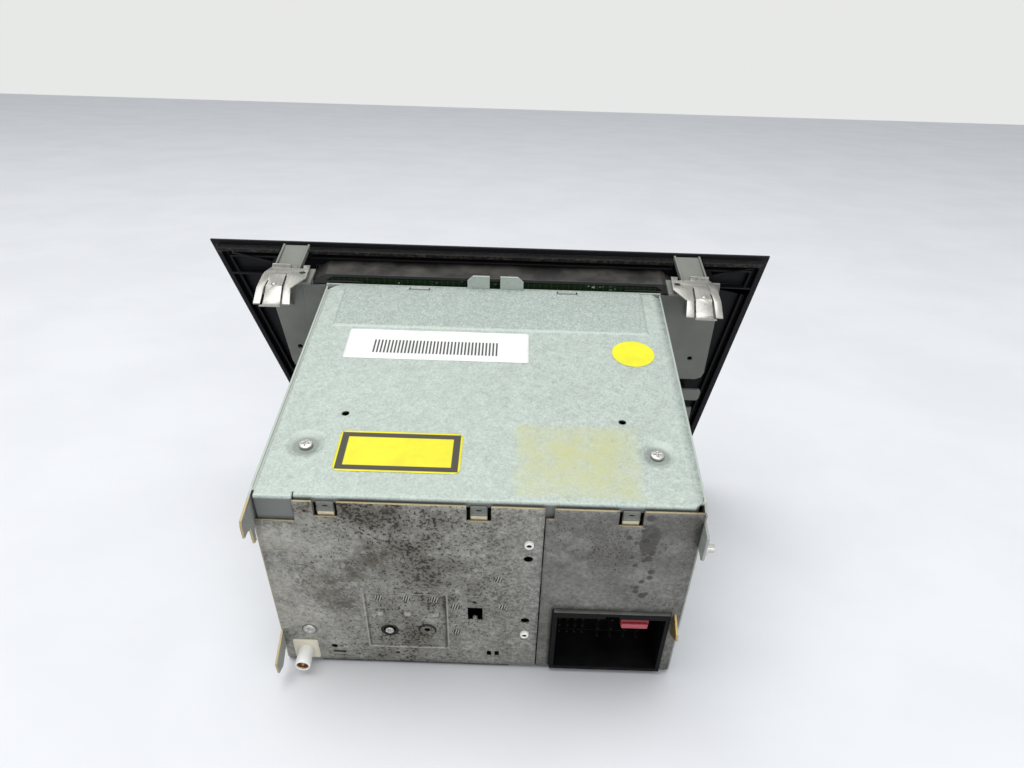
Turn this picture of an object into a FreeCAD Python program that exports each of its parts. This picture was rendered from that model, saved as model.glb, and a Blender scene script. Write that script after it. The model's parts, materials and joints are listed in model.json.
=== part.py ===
import FreeCAD, Part
import math
import os

# Slot-loading car CD receiver, millimetres, +Z up, front towards -Y.
# The origin is the centre of the steel box's flat underside.
V = FreeCAD.Vector

# Steel box
BOX_W = 180.0
BOX_D = 155.0
BOX_H = 110.0
SHEET = 1.0
COVER_LIP_DROP = 12.0
PANEL_TOP_DROP = 3.0
SEAM_X = -26.8
SEAM_GAP = 0.5
HOOK_X = (60.0, -0.5, -60.5)
NOTCH_W = 9.8
TAB_W = 6.8
FLAP_W = 15.0
PRONG_REACH = 13.5
FOLD_W = 7.5

# Disc and its path
DISC_R = 60.0
DISC_SIDE_GAP = 3.0
DISC_T = 1.2
SLOT_DROP = 20.6
SLOT_W = 2 * (DISC_R + DISC_SIDE_GAP)
SLOT_H = 5.4
SEAT_BELOW_SLOT = 5.4
SPINDLE_BACK = 79.5

# Shafts and running fits
PIN_R = 1.5
FINE_R = 0.75
MID_R = 1.0
RUN = 0.06
PLAY = 0.2

# Gears
MODULE = 0.6
ROLLER_TEETH = 22
IDLER_TEETH = 36
PINION_TEETH = 12
SLED_TEETH = 24
BACKLASH = 0.14
PRESSURE = math.radians(20.0)

# Mechanism travels
SLIDER_IN = 10.0
SLIDER_OUT = 3.0
ARM_CLOSE_DEG = 7.0
BRACKET_DROP_DEG = 14.0
SLED_TRAVEL = 35.0
DECK_TRAVEL = 1.0

# Mechanism sizes, in the spindle's own frame
FRAME_X = 80.0
DECK_X = 72.0
DECK_TOP = -17.0
DECK_FRONT = -72.0
DECK_REAR = 71.5
DAMPER_X = 75.5
DAMPER_Y = (-50.0, 48.0)
ROLLER_R = 4.5
ROLLER_AT = (-66.0, -1.5)
BRACKET_PIVOT = (-32.0, -7.0)
MOTOR_AT = (-43.0, -7.0)
BRACKET_PIN = (-55.0, -4.0)
ARM_PIVOT = (68.0, 8.0)
ARM_PIN = (45.0, 7.5)
ARM_Z = 7.0
PUCK_R = 13.0
SLIDER_X = -75.0
STUD_Y = (-20.0, 26.0)
STUD_Z = -10.0
ROD_Y = 20.0
ROD_Z = -10.0
SLED_X = 16.0
SLED_L = 18.0
LENS_X = 24.0

# Front
FASCIA_TOP_RIGHT = 66.0
FASCIA_TOP_LEFT = 60.0
FASCIA_LOW_RIGHT = 16.0
FASCIA_LOW_LEFT = 33.0
FASCIA_ABOVE = 14.7
FASCIA_BELOW = 48.0
FASCIA_T = 2.5
RIM_H = 4.0
RIM_INSET = 3.0
WALL = 2.0
TRIM_SIDE = 14.0
TRIM_T = 2.5
INNER_SIDE = 8.0
WINDOW_W = 124.0
WINDOW_Z = (40.0, 78.0)
KNOB_R = 17.0
KNOB_X = 84.0
KNOB_Z = 28.0
SHAFT_R = 3.0
BUTTON_TRAVEL = 0.8
ROCKER_W = 34.0
ROCKER_PITCH = 37.0
ROCKER_Z = 22.0
ARM_W = 14.5
ARM_X_RIGHT = 111.2
ARM_X_LEFT = -107.5
CLIP_T = 0.7
CLIP_RISE = 0.8
ARM_LEAN = 2.8

# Rear connections
BAY_X = (-84.5, -33.0)
BAY_Z = (2.0, 45.0)
SHROUD_PROUD = 2.9
SHROUD_DEEP = 22.4
AERIAL_X = 79.7
AERIAL_Z = 9.2
BARREL_R = 3.5
BARREL_L = 9.0

# Derived planes
SIDE = BOX_W / 2
FRONT = -BOX_D / 2
REAR = BOX_D / 2
COVER_UNDER = BOX_H - SHEET
PANEL_TOP = BOX_H - PANEL_TOP_DROP
PANEL_EDGE = BOX_H - 1.6
SLOT_Z = BOX_H - SLOT_DROP
SEAT_Z = SLOT_Z - SEAT_BELOW_SLOT
SPINDLE_Y = FRONT + SPINDLE_BACK
PLATE_FRONT = FRONT - SHEET
BOARD_BACK = PLATE_FRONT - 3.5
BOARD_FRONT = BOARD_BACK - 1.6
CARRIER_BACK = PLATE_FRONT - 2.0
FASCIA_BACK = PLATE_FRONT - 18.0
FASCIA_FRONT = FASCIA_BACK - FASCIA_T
TRIM_FRONT = FASCIA_FRONT - TRIM_T
TRIM_X = SIDE + TRIM_SIDE
INNER_X = SIDE + INNER_SIDE
TRIM_Z = (-9.0, BOX_H + 4.5)
INNER_Z = (-4.0, BOX_H + 5.0)
OPEN_Z = (-6.0, BOX_H + 1.0)
OPEN_X = SIDE + 10.0
BOARD_LEVEL = 10.0

# Cover, panels, wall and their fixings
SLIT_X = 39.5
RECESS_X = (13.5, 50.0)
RECESS_Z = (12.5, 52.0)
EYELET = (23.0, 25.8)
RECESS_SCREW = (40.1, 24.6)
AERIAL_SCREW = (AERIAL_X - 3.1, 24.0)
REAR_PIN_X = SEAM_X + 5.9
REAR_PIN_Z = (87.7, 26.3)
STUD_AT = (REAR + 4.5, BOX_H - 17.0)
STUD_L = 4.0
STUD_R = 1.8
PLATE_EAR_X = SIDE + 6.0
TONGUE_X = (-16.0, 14.0)
EAR_SCREW_X = SIDE + 3.0
EAR_SCREW_Z = (26.0, BOX_H - 26.0)
PEG_HALF = 3.0

# Power header
SHROUD_BACK = REAR + SHROUD_PROUD
SHROUD_FRONT = SHROUD_BACK - SHROUD_DEEP
CAVITY_X = (BAY_X[0] + 2.0, BAY_X[1] - 2.0)
CAVITY_Z = (BAY_Z[0] + 2.0, BAY_Z[1] - 3.5)

# Electronics
BOARD_T = 1.6
CHIP_X = (-66.0, -36.0)
CHIP_Z = (46.6, 57.4)
CAN_X = (40.0, 84.0)

# Mechanism frame and deck, in the spindle's own frame
MECH_SCREW_X = FRAME_X - 6.5
MECH_SCREW_Y = FRONT + 124.6
FRAME_FRONT = FRONT + SHEET - SPINDLE_Y
FRAME_TOP = COVER_UNDER - 1.4 - SEAT_Z
FRAME_LOW = -26.0
FRAME_REAR = 73.0
TAB_Z = -24.0
BUSH_R = 3.4
BUSH_NECK_R = 2.6
DECK_PIN_R = 1.5
GUIDE_Z = SEAT_BELOW_SLOT + SLOT_H / 2 + 0.1
ROD_X = (-7.0, DECK_X - 1.1)
GEAR_X = (67.0, 69.5)
RACK_PITCH_Y = -29.0
RACK_Z = (ROD_Z - 3.0, ROD_Z - 1.0)
SLED_GEAR_AT = (20.0, RACK_PITCH_Y - MODULE * SLED_TEETH / 2)
SLED_PINION_TURN = math.radians(-60.0)
SLED_CENTRES = MODULE * (SLED_TEETH + PINION_TEETH) / 2
SLED_PINION_AT = (SLED_GEAR_AT[0] + SLED_CENTRES * math.cos(SLED_PINION_TURN),
                  SLED_GEAR_AT[1] + SLED_CENTRES * math.sin(SLED_PINION_TURN))
SLED_PHASE = math.radians(90.0)
FOCUS_X = 30.0
CONE_H = 2.2
BRACKET_X = 64.5
BRACKET_T = 1.5

# Fascia posts, carrier arms, buttons and knobs
POSTS = ((SIDE + 21.0, 66.0), (SIDE + 17.0, 38.0), (-SIDE - 23.0, 66.0), (-SIDE - 22.0, 38.0))
ARM_TOP = BOX_H + 8.0
ARM_FRONT = FASCIA_BACK + RIM_H + 1.0
ROOT_FRONT = FASCIA_BACK + PLAY
ROOT_TOP = BOX_H + FASCIA_ABOVE - 0.9
ARM_BACK = CARRIER_BACK + 22.0
CARRIER_TOP = BOX_H + 6.0
BUTTONS = {"source_button": (-KNOB_X, 64.0, 20.0, 9.0), "menu_button": (KNOB_X, 64.0, 20.0, 9.0),
           "eject_button": (KNOB_X, SLOT_Z, 18.0, 8.0)}
BUTTON_PROUD = 1.5
ROCKER_H = 9.0
ROCKER_SIDE = 0.6
TRUNNION_Y = FASCIA_FRONT + 2.2
TRUNNION_R = 1.0
SWITCH_TOP = BOARD_FRONT - 3.5
ENCODER_TOP = BOARD_FRONT - 7.0
KNOB_BACK = TRIM_FRONT - 0.8
KNOB_FRONT = KNOB_BACK - 12.5

NODES = {}


def box(x0, x1, y0, y1, z0, z1):
    """A block between two values on each axis."""
    return Part.makeBox(x1 - x0, y1 - y0, z1 - z0, V(x0, y0, z0))


def rod(axis, at, radius, a0, a1):
    """A cylinder along one axis; at holds the other two coordinates in X, Y, Z order."""
    if axis == "x":
        return Part.makeCylinder(radius, a1 - a0, V(a0, at[0], at[1]), V(1, 0, 0))
    if axis == "y":
        return Part.makeCylinder(radius, a1 - a0, V(at[0], a0, at[1]), V(0, 1, 0))
    return Part.makeCylinder(radius, a1 - a0, V(at[0], at[1], a0), V(0, 0, 1))


def cone(at, r0, r1, z0, z1):
    """A cone frustum along Z."""
    return Part.makeCone(r0, r1, z1 - z0, V(at[0], at[1], z0), V(0, 0, 1))


def prism(points, axis, a0, a1):
    """A polygon pushed along one axis; its points hold the other two coordinates."""
    if axis == "x":
        corners = [V(a0, p, q) for p, q in points]
        push = V(a1 - a0, 0, 0)
    elif axis == "y":
        corners = [V(p, a0, q) for p, q in points]
        push = V(0, a1 - a0, 0)
    else:
        corners = [V(p, q, a0) for p, q in points]
        push = V(0, 0, a1 - a0)
    wire = Part.makePolygon(corners + [corners[0]])
    return Part.Face(wire).extrude(push)


def fuse(*shapes):
    """One solid from several."""
    return shapes[0].multiFuse(list(shapes[1:])).removeSplitter()


def cut(shape, *tools):
    """A shape less its tools."""
    return shape.cut(list(tools))


def turned(shape, pivot, degrees):
    """A shape turned about an X axis through (y, z)."""
    copy = shape.copy()
    copy.rotate(V(0, pivot[0], pivot[1]), V(1, 0, 0), degrees)
    return copy


def mirrored(shape):
    """A shape mirrored from +X to -X."""
    return shape.mirror(V(0, 0, 0), V(1, 0, 0))


def placed(shape):
    """A shape moved from the spindle's frame to the box's frame."""
    copy = shape.copy()
    copy.translate(V(0, SPINDLE_Y, SEAT_Z))
    return copy


def turn_point(point, pivot, degrees):
    """A (y, z) point turned about an X axis."""
    angle = math.radians(degrees)
    y = point[0] - pivot[0]
    z = point[1] - pivot[1]
    return (pivot[0] + y * math.cos(angle) - z * math.sin(angle),
            pivot[1] + y * math.sin(angle) + z * math.cos(angle))


def rounded(x0, x1, z0, z1, radius, y0, y1):
    """A block along Y whose four X-Z corners are round."""
    block = box(x0, x1, y0, y1, z0, z1)
    edges = [e for e in block.Edges if abs(e.tangentAt(e.FirstParameter).y) > 0.9]
    return block.makeFillet(radius, edges)


def slot_along(p0, p1, radius, x0, x1):
    """A round-ended slot through an X plate between two (y, z) points."""
    length = math.hypot(p1[0] - p0[0], p1[1] - p0[1])
    across = ((p0[1] - p1[1]) * radius / length, (p1[0] - p0[0]) * radius / length)
    corners = [(p0[0] + across[0], p0[1] + across[1]), (p1[0] + across[0], p1[1] + across[1]),
               (p1[0] - across[0], p1[1] - across[1]), (p0[0] - across[0], p0[1] - across[1])]
    return fuse(prism(corners, "x", x0, x1), rod("x", p0, radius, x0, x1),
                rod("x", p1, radius, x0, x1))


# Gears

def pitch_radius(teeth):
    return MODULE * teeth / 2


def involute(angle):
    """tan(a) - a, the involute function."""
    return math.tan(angle) - angle


def gear_outline(teeth, phase):
    """Stub involute teeth; one tooth is centred on the phase angle."""
    pitch = pitch_radius(teeth)
    base = pitch * math.cos(PRESSURE)
    root = pitch - 1.1 * MODULE
    tip = pitch + 0.8 * MODULE
    half = math.pi / (2 * teeth) - BACKLASH / (4 * pitch)
    flank = []
    start = max(base, root)
    for step in range(5):
        r = start + (tip - start) * step / 4
        turn = math.acos(min(1.0, base / r))
        flank.append((r, half + involute(PRESSURE) - involute(turn)))
    if root < base:
        flank.insert(0, (root, flank[0][1]))
    points = []
    for tooth in range(teeth):
        centre = phase + 2 * math.pi * tooth / teeth
        side = [(r, centre - a) for r, a in flank]
        other = [(r, centre + a) for r, a in reversed(flank)]
        points += [(r * math.cos(a), r * math.sin(a)) for r, a in side + other]
    return points


def gear(teeth, phase, axis, at, a0, a1, bore):
    """A spur gear along an axis, with a bore of that radius."""
    outline = [(at[0] + p, at[1] + q) for p, q in gear_outline(teeth, phase)]
    wheel = prism(outline, axis, a0, a1)
    if bore > 0:
        wheel = cut(wheel, rod(axis, at, bore, a0 - 1, a1 + 1))
    return wheel


def meshed_phase(teeth, direction):
    """Phase that puts a gap on the line back to a gear with a tooth on it."""
    return direction + math.pi + math.pi / teeth


def carried_phase(teeth, phase, direction, next_teeth):
    """Phase of the next gear in a train when the middle gear's phase is given."""
    step = 2 * math.pi / teeth
    off = (direction - phase) % step
    gap = direction + math.pi + off * teeth / next_teeth
    return gap + math.pi / next_teeth


# Steel box

def dimple_tools(x, y):
    """The bulge under the cover and the cone and hole cut into it."""
    bulge = cone((x, y), 5.4, 8.6, COVER_UNDER - 1.4, COVER_UNDER)
    hollow = cone((x, y), 4.4, 7.6, BOX_H - 1.4, BOX_H)
    hole = rod("z", (x, y), PIN_R + PLAY, COVER_UNDER - 3, BOX_H + 1)
    return bulge, hollow, hole


def top_cover():
    right = SIDE - 2.4
    left = -SIDE + 1.1
    back = REAR - SHEET
    sheet = box(left, right, FRONT, back, COVER_UNDER, BOX_H)
    lip = box(left + SHEET, right - FLAP_W - SEAM_GAP, back - SHEET, back, BOX_H - COVER_LIP_DROP, BOX_H)
    shell = fuse(sheet, lip)
    bend = [e for e in shell.Edges
            if abs(e.CenterOfMass.y - back) < 0.01 and abs(e.CenterOfMass.z - BOX_H) < 0.01]
    shell = shell.makeFillet(0.9, bend)
    corner = 4.0
    for x, way in ((right, -1), (left, 1)):
        shell = cut(shell, prism([(x, FRONT), (x + way * corner, FRONT), (x, FRONT + corner)],
                                 "z", COVER_UNDER - 1, BOX_H + 1))
    shell = cut(shell, prism([(left, back + 1), (left + corner, back + 1), (left, back - corner)],
                             "z", BOX_H - COVER_LIP_DROP - 1, BOX_H + 1))
    raised = 0.6
    pad = box(-SIDE + 11, SIDE - 11, FRONT, FRONT + 37.7, COVER_UNDER, BOX_H + raised)
    pocket = box(-SIDE + 12, SIDE - 12, FRONT - 1, FRONT + 36.7, COVER_UNDER - 1,
                 COVER_UNDER + raised)
    shell = cut(fuse(shell, pad), pocket)
    flap = fuse(box(right - FLAP_W, right, back - SHEET, REAR, COVER_UNDER, BOX_H),
                box(right - FLAP_W, right, back, REAR, PANEL_TOP - 10 + PLAY, BOX_H))
    pieces = [shell, flap]
    for x in HOOK_X:
        pieces.append(box(x - TAB_W / 2, x + TAB_W / 2, back - SHEET, REAR,
                          PANEL_TOP - 6.0, PANEL_TOP - 0.4))
        pieces.append(box(x - TAB_W / 2, x + TAB_W / 2, back - SHEET, REAR + 0.4,
                          PANEL_TOP - 6.6, PANEL_TOP - 5.4))
    shell = fuse(*pieces)
    for x in HOOK_X:
        beside = [box(x + way * 4.15 - 0.75, x + way * 4.15 + 0.75, back - SHEET - 1, back + 0.5,
                      BOX_H - COVER_LIP_DROP - 1, PANEL_TOP - 0.8) for way in (-1, 1)]
        shell = cut(shell, box(x - 1.0, x + 1.0, back - 2, REAR + 1, PANEL_TOP - 2.2,
                               PANEL_TOP - 1.4), *beside)
    for way in (-1, 1):
        bulge, hollow, hole = dimple_tools(way * MECH_SCREW_X, MECH_SCREW_Y)
        shell = cut(fuse(shell, bulge), hollow, hole)
        shell = cut(shell, rod("z", (way * 60.5, FRONT + 104.7), 1.7, COVER_UNDER - 1, BOX_H + 1))
        shell = cut(shell, box(way * SLIT_X - 5.5, way * SLIT_X + 5.5, FRONT + 0.8, FRONT + 2.6,
                               COVER_UNDER - 1, BOX_H + 1))
    return shell


def bottom_cover():
    inside = SIDE - SHEET
    flange_back = REAR + 0.8
    sheet = box(-inside, inside, FRONT, REAR, 0, SHEET)
    front_lip = box(-inside, inside, FRONT, FRONT + SHEET, 0, 8)
    rear_lip = box(-14.4, AERIAL_X - 6.3, REAR, flange_back, 0, 5.9)
    foot = box(-14.4, AERIAL_X - 6.3, REAR - 1, flange_back, 0, SHEET)
    pieces = [sheet, front_lip, rear_lip, foot]
    for x, y in standoffs():
        pieces.append(cone((x, y), 4.5, 3.0, 0, BOARD_LEVEL))
    shell = fuse(*pieces)
    cuts = [prism([(-26.2, REAR - 3), (-14.8, REAR - 3), (-14.8, REAR + 2), (-26.2, REAR + 2)],
                  "z", -1, 2)]
    for x, y in standoffs():
        cuts.append(cone((x, y), 3.5, 2.0, -1, BOARD_LEVEL - 1))
    for row in range(2):
        for column in range(6):
            x = -45 + 18 * column
            y = FRONT + 32 + 34 * row
            cuts.append(box(x - 2, x + 2, y, y + 22, -1, 2))
    return cut(shell, *cuts)


def standoffs():
    """Where the main board stands on the bottom cover."""
    return [(way * (SIDE - 14), y) for way in (-1, 1) for y in (FRONT + 14, 0.0)]


def prong_outline(way):
    """Side wall as (y, z): two hooked prongs on the right, and one short broad one on the left."""
    tip = REAR + PRONG_REACH
    high = PANEL_TOP
    low = [(REAR, 12), (tip - 4, 7), (tip + 1, 9.5), (tip + 1.5, 17), (REAR + 3, 21), (REAR, 22)]
    end = tip - 1.4
    hook = [(REAR, high - 13), (REAR + 2, high - 14), (REAR + 2.5, high - 20), (REAR + 5, high - 19.5),
            (REAR + 5.5, high - 10), (end - 4, high - 9), (end - 3.6, high - 8.6), (end, high - 8.3),
            (end, high - 2), (end - 1, high + 0.5), (REAR, high + 1.5)]
    stub = [(REAR, high - 18), (REAR + 7, high - 18.5), (REAR + 8.5, high - 17), (REAR + 8.5, high - 4.5),
            (REAR + 7.5, high - 3.5), (REAR, high - 3.5), (REAR, high)]
    return [(FRONT, 0), (REAR, 0)] + (low + hook if way > 0 else stub) + [
            (REAR - 6, BOX_H - 0.6), (FRONT, BOX_H - 0.6)]


def side_wall(way):
    """The +X wall, with folded edges, vent slots and mounting holes."""
    wall = prism(prong_outline(way), "x", SIDE - SHEET, SIDE)
    low = box(SIDE - FOLD_W, SIDE - SHEET, FRONT + 5, REAR - 20, SHEET, 2 * SHEET)
    high = box(SIDE - FOLD_W, SIDE - SHEET, FRONT + 3, REAR - 4, COVER_UNDER - SHEET, COVER_UNDER)
    wall = fuse(wall, low, high)
    cuts = []
    for row in range(3):
        for column in range(6):
            y = FRONT + 32 + 13 * column
            z = 38 + 11 * row
            cuts.append(box(SIDE - 3, SIDE + 1, y, y + 9, z, z + 2.4))
    for y in (FRONT + 14, REAR - 20):
        for z in (22.0, BOX_H - 24):
            cuts.append(rod("x", (y, z), 2.5, SIDE - 3, SIDE + 1))
    return cut(wall, *cuts)


def hook_notch(x):
    return box(x - NOTCH_W / 2, x + NOTCH_W / 2, REAR - 2, REAR + 1, PANEL_TOP - 6.8, BOX_H)


def pressed_mark(x, z, radius):
    """A low round mark pressed outwards in a rear panel."""
    return rod("y", (x, z), radius, REAR - 0.5, REAR + 0.25)


def rear_panel():
    inside = SIDE - SHEET
    panel = box(SEAM_X + SEAM_GAP / 2, inside, REAR - SHEET, REAR, SHEET, PANEL_EDGE)
    cuts = [box(SIDE - 2.4 - FLAP_W, inside + 1, REAR - 2, REAR + 1, PANEL_TOP - 10, BOX_H),
            hook_notch(HOOK_X[0]), hook_notch(HOOK_X[1]),
            box(RECESS_X[0], RECESS_X[1], REAR - 0.4, REAR + 1, RECESS_Z[0], RECESS_Z[1]),
            box(0.7, 2.3, REAR - 2, REAR + 1, 47.0, 48.6),
            box(-2.0, 4.5, REAR - 2, REAR + 1, 34.9, 44.0),
            box(-9.6, -7.6, REAR - 2, REAR + 1, 7.6, 11.5),
            box(-6.0, -4.0, REAR - 2, REAR + 1, 7.6, 11.5),
            box(61.5, 67.5, REAR - 2, REAR + 1, 6.1, 8.0),
            rod("y", (66.6, 11.4), 1.6, REAR - 2, REAR + 1),
            rod("y", (63.2, 11.4), 0.8, REAR - 2, REAR + 1),
            rod("y", (61.2, 12.6), 0.6, REAR - 2, REAR + 1),
            rod("y", (37.5, 7.6), 1.1, REAR - 2, REAR + 1),
            rod("y", (68.3, BOX_H - 7.5), 1.1, REAR - 2, REAR + 1),
            rod("y", (AERIAL_X, AERIAL_Z), BARREL_R + PLAY, REAR - 2, REAR + 1)]
    for z in REAR_PIN_Z:
        inward = -9.8 if z > BOX_H / 2 else 9.4
        cuts.append(rod("y", (REAR_PIN_X, z + inward), 2.0, REAR - 2, REAR + 1))
    panel = cut(panel, *cuts)
    marks = [box(0.3, 2.2, REAR - SHEET, REAR, 34.9, 37.6)]
    for z in (48.3, 37.3):
        for x in (43.6, 31.4, 19.1):
            marks.append(rod("y", (x, z), 1.8, REAR - 0.6, REAR - 0.15))
    for x, z in ((-8.6, 64.1), (10.0, 44.4), (-10.9, 44.9), (9.8, 25.9)):
        marks.append(pressed_mark(x, z, 1.9))
    ring = cut(rod("y", EYELET, 4.4, REAR - 0.8, REAR + 0.5), rod("y", EYELET, 2.3, REAR - 2, REAR + 1))
    marks.append(ring)
    panel = fuse(panel, *marks)
    return cut(panel, rod("y", EYELET, 2.3, REAR - 2, REAR + 1),
               rod("y", RECESS_SCREW, PIN_R + PLAY, REAR - 2, REAR + 1),
               rod("y", AERIAL_SCREW, PIN_R + PLAY, REAR - 2, REAR + 1))


def amplifier_panel():
    inside = SIDE - SHEET
    panel = box(-inside, SEAM_X - SEAM_GAP / 2, REAR - SHEET, REAR, SHEET, PANEL_EDGE)
    step = box(SEAM_X - SEAM_GAP / 2 - 2.2, SEAM_X, REAR - 2, REAR + 1, PANEL_TOP - 4, PANEL_TOP - 1.5)
    bay = box(BAY_X[0] - PLAY, BAY_X[1] + PLAY, REAR - 2, REAR + 1, 0, BAY_Z[1] + PLAY)
    panel = cut(panel, step, bay, hook_notch(HOOK_X[2]))
    x = BAY_X[0] - 1.6
    ear = prism([(REAR - 0.5, BAY_Z[1] - 0.5), (REAR + 9.5, BAY_Z[1] - 4), (REAR + 10.5, BAY_Z[1] - 7),
                 (REAR + 2.5, BAY_Z[1] - 14), (REAR - 0.5, BAY_Z[1] - 14)], "x", x - SHEET, x)
    marks = [pressed_mark(px, pz, 1.9) for px, pz in ((-45.0, 84.0), (-66.5, 84.0), (-43.5, 62.0))]
    return fuse(panel, ear, *marks)


def slot_window(y0, y1, margin):
    """A way for the disc through a wall across the front."""
    half = SLOT_W / 2 + margin
    rise = SLOT_H / 2 + margin
    return box(-half, half, y0, y1, SLOT_Z - rise, SLOT_Z + rise)


def front_plate():
    top = BOX_H + 0.5
    plate = box(-SIDE, SIDE, PLATE_FRONT, FRONT, SHEET, top)
    ears = [box(way * SIDE if way > 0 else -PLATE_EAR_X, PLATE_EAR_X if way > 0 else -SIDE,
                PLATE_FRONT, FRONT, z - 7, z + 7) for way in (-1, 1) for z in EAR_SCREW_Z]
    left, right = TONGUE_X
    high = BOX_H + 8
    tongue = prism([(left, top - 1), (right, top - 1), (right, high - 3), (right - 3, high),
                    (left + 3, high), (left, high - 3)], "y", PLATE_FRONT, FRONT)
    plate = fuse(plate, tongue, *ears)
    cuts = [slot_window(PLATE_FRONT - 1, FRONT + 1, 2.0),
            box(-3.6, 2.1, PLATE_FRONT - 1, FRONT + 1, top - 0.5, high + 1),
            box(-60, 60, PLATE_FRONT - 1, FRONT + 1, 14, 62)]
    for way in (-1, 1):
        for z in EAR_SCREW_Z:
            cuts.append(rod("y", (way * EAR_SCREW_X, z), PIN_R + PLAY, PLATE_FRONT - 1, FRONT + 1))
    return cut(plate, *cuts)


def pan_screw(axis, at, head_from, way, shank, head_r=2.9):
    """A pan-head screw along an axis; its head starts at a plane and grows that way."""
    head_h = 1.8
    far = head_from + way * head_h
    head = rod(axis, at, head_r, min(head_from, far), max(head_from, far))
    rim = [e for e in head.Edges if e.Closed and abs(_along(e, axis) - far) < 0.01]
    head = head.makeFillet(0.7, rim)
    tip = head_from - way * shank
    body = rod(axis, at, PIN_R, min(head_from, tip), max(head_from, tip))
    slots = [cross_slot(axis, at, far, way, turn) for turn in (0, 90)]
    return cut(fuse(head, body), *slots)


def _along(edge, axis):
    centre = edge.CenterOfMass
    return {"x": centre.x, "y": centre.y, "z": centre.z}[axis]


def cross_slot(axis, at, top, way, turn):
    """One bar of a cross recess in a screw's head."""
    long_half = 1.5
    thin_half = 0.3
    a0 = min(top - way * 1.0, top + way * 0.5)
    a1 = max(top - way * 1.0, top + way * 0.5)
    p, q = (long_half, thin_half) if turn == 0 else (thin_half, long_half)
    if axis == "z":
        return box(at[0] - p, at[0] + p, at[1] - q, at[1] + q, a0, a1)
    return box(at[0] - p, at[0] + p, a0, a1, at[1] - q, at[1] + q)


def case_screws():
    """Two down through the cover, two into the rear panel and four in the front plate's ears."""
    seat = BOX_H - 1.4
    screws = [pan_screw("z", (way * MECH_SCREW_X, MECH_SCREW_Y), seat, 1, 4.4) for way in (-1, 1)]
    screws.append(pan_screw("y", AERIAL_SCREW, REAR, 1, 6.0, 3.4))
    screws.append(pan_screw("y", RECESS_SCREW, REAR - 0.4, 1, 6.0, 3.0))
    screws += [pan_screw("y", (way * EAR_SCREW_X, z), FRONT, 1, 6.0, 2.8) for way in (-1, 1)
               for z in EAR_SCREW_Z]
    return Part.makeCompound(screws)


def rear_pins():
    """Two domed plastic rivets in the rear panel."""
    pins = []
    for z in REAR_PIN_Z:
        dome = rod("y", (REAR_PIN_X, z), 2.1, REAR, REAR + 2.8)
        dome = dome.makeFillet(1.3, [e for e in dome.Edges
                                     if e.Closed and abs(e.CenterOfMass.y - REAR - 2.8) < 0.01])
        pins.append(dome)
    return Part.makeCompound(pins)


def guide_stud():
    """A headed stud that points sideways from the left wall's upper prong."""
    shank = rod("x", STUD_AT, STUD_R, -SIDE - STUD_L, -SIDE)
    collar = rod("x", STUD_AT, 3.0, -SIDE - 1.0, -SIDE)
    return fuse(shank, collar)


def left_side_wall():
    """Mirror of the right wall with one short prong, which carries the stud."""
    return mirrored(side_wall(-1))


# Rear connections

def aerial_socket():
    inner = box(AERIAL_X - 5.2, AERIAL_X + 5.2, REAR - 14, REAR - SHEET, 3.0, 15.5)
    neck = rod("y", (AERIAL_X, AERIAL_Z), BARREL_R, REAR - SHEET - 0.5, REAR + 1)
    plate = box(AERIAL_X - 5.8, AERIAL_X + 5.8, REAR, REAR + 1.5, 2.3, 16.0)
    barrel = rod("y", (AERIAL_X, AERIAL_Z), BARREL_R, REAR + 1.5, REAR + 1.5 + BARREL_L)
    bore = rod("y", (AERIAL_X, AERIAL_Z), 2.3, REAR + 3, REAR + 3 + BARREL_L)
    contact = rod("y", (AERIAL_X, AERIAL_Z), 0.6, REAR + 2, REAR + 8)
    return fuse(cut(fuse(inner, neck, plate, barrel), bore), contact)


def power_header():
    block = box(BAY_X[0], BAY_X[1], SHROUD_FRONT, SHROUD_BACK, BAY_Z[0], BAY_Z[1])
    cavity = box(CAVITY_X[0], CAVITY_X[1], SHROUD_FRONT + 2, SHROUD_BACK + 1, CAVITY_Z[0],
                 CAVITY_Z[1])
    latch = box(-62, -56, SHROUD_FRONT + 6, SHROUD_BACK + 1, CAVITY_Z[1] - 0.5, CAVITY_Z[1] + 1.6)
    legs = [box(x, x + 3, SHROUD_FRONT - 3, SHROUD_FRONT + 1, BAY_Z[0], BOARD_LEVEL)
            for x in (BAY_X[0], BAY_X[1] - 3)]
    body = fuse(block, *legs)
    holes = [box(x - 0.5, x + 0.5, SHROUD_FRONT - 1, SHROUD_FRONT + 3, z - 0.5, z + 0.5)
             for x, z in contact_places()]
    return cut(body, cavity, latch, *holes)


def contact_places():
    """Two blocks of eight power contacts and a row of signal contacts."""
    places = []
    for z in (9.5, 15.0, 22.0, 27.5):
        for column in range(4):
            places.append((CAVITY_X[0] + 8 + 6.2 * column, z))
    for z in (12.0, 17.0, 22.0, 27.0):
        for column in range(4):
            places.append((CAVITY_X[0] + 34 + 3.6 * column, z))
    return places


def header_contacts():
    """Square pins that run from the board through the shroud's back wall."""
    pins = []
    for x, z in contact_places():
        straight = box(x - 0.5, x + 0.5, SHROUD_FRONT - 2.0, SHROUD_FRONT + 9.0, z - 0.5, z + 0.5)
        pins.append(straight)
    return Part.makeCompound(pins)


# Electronics


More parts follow.
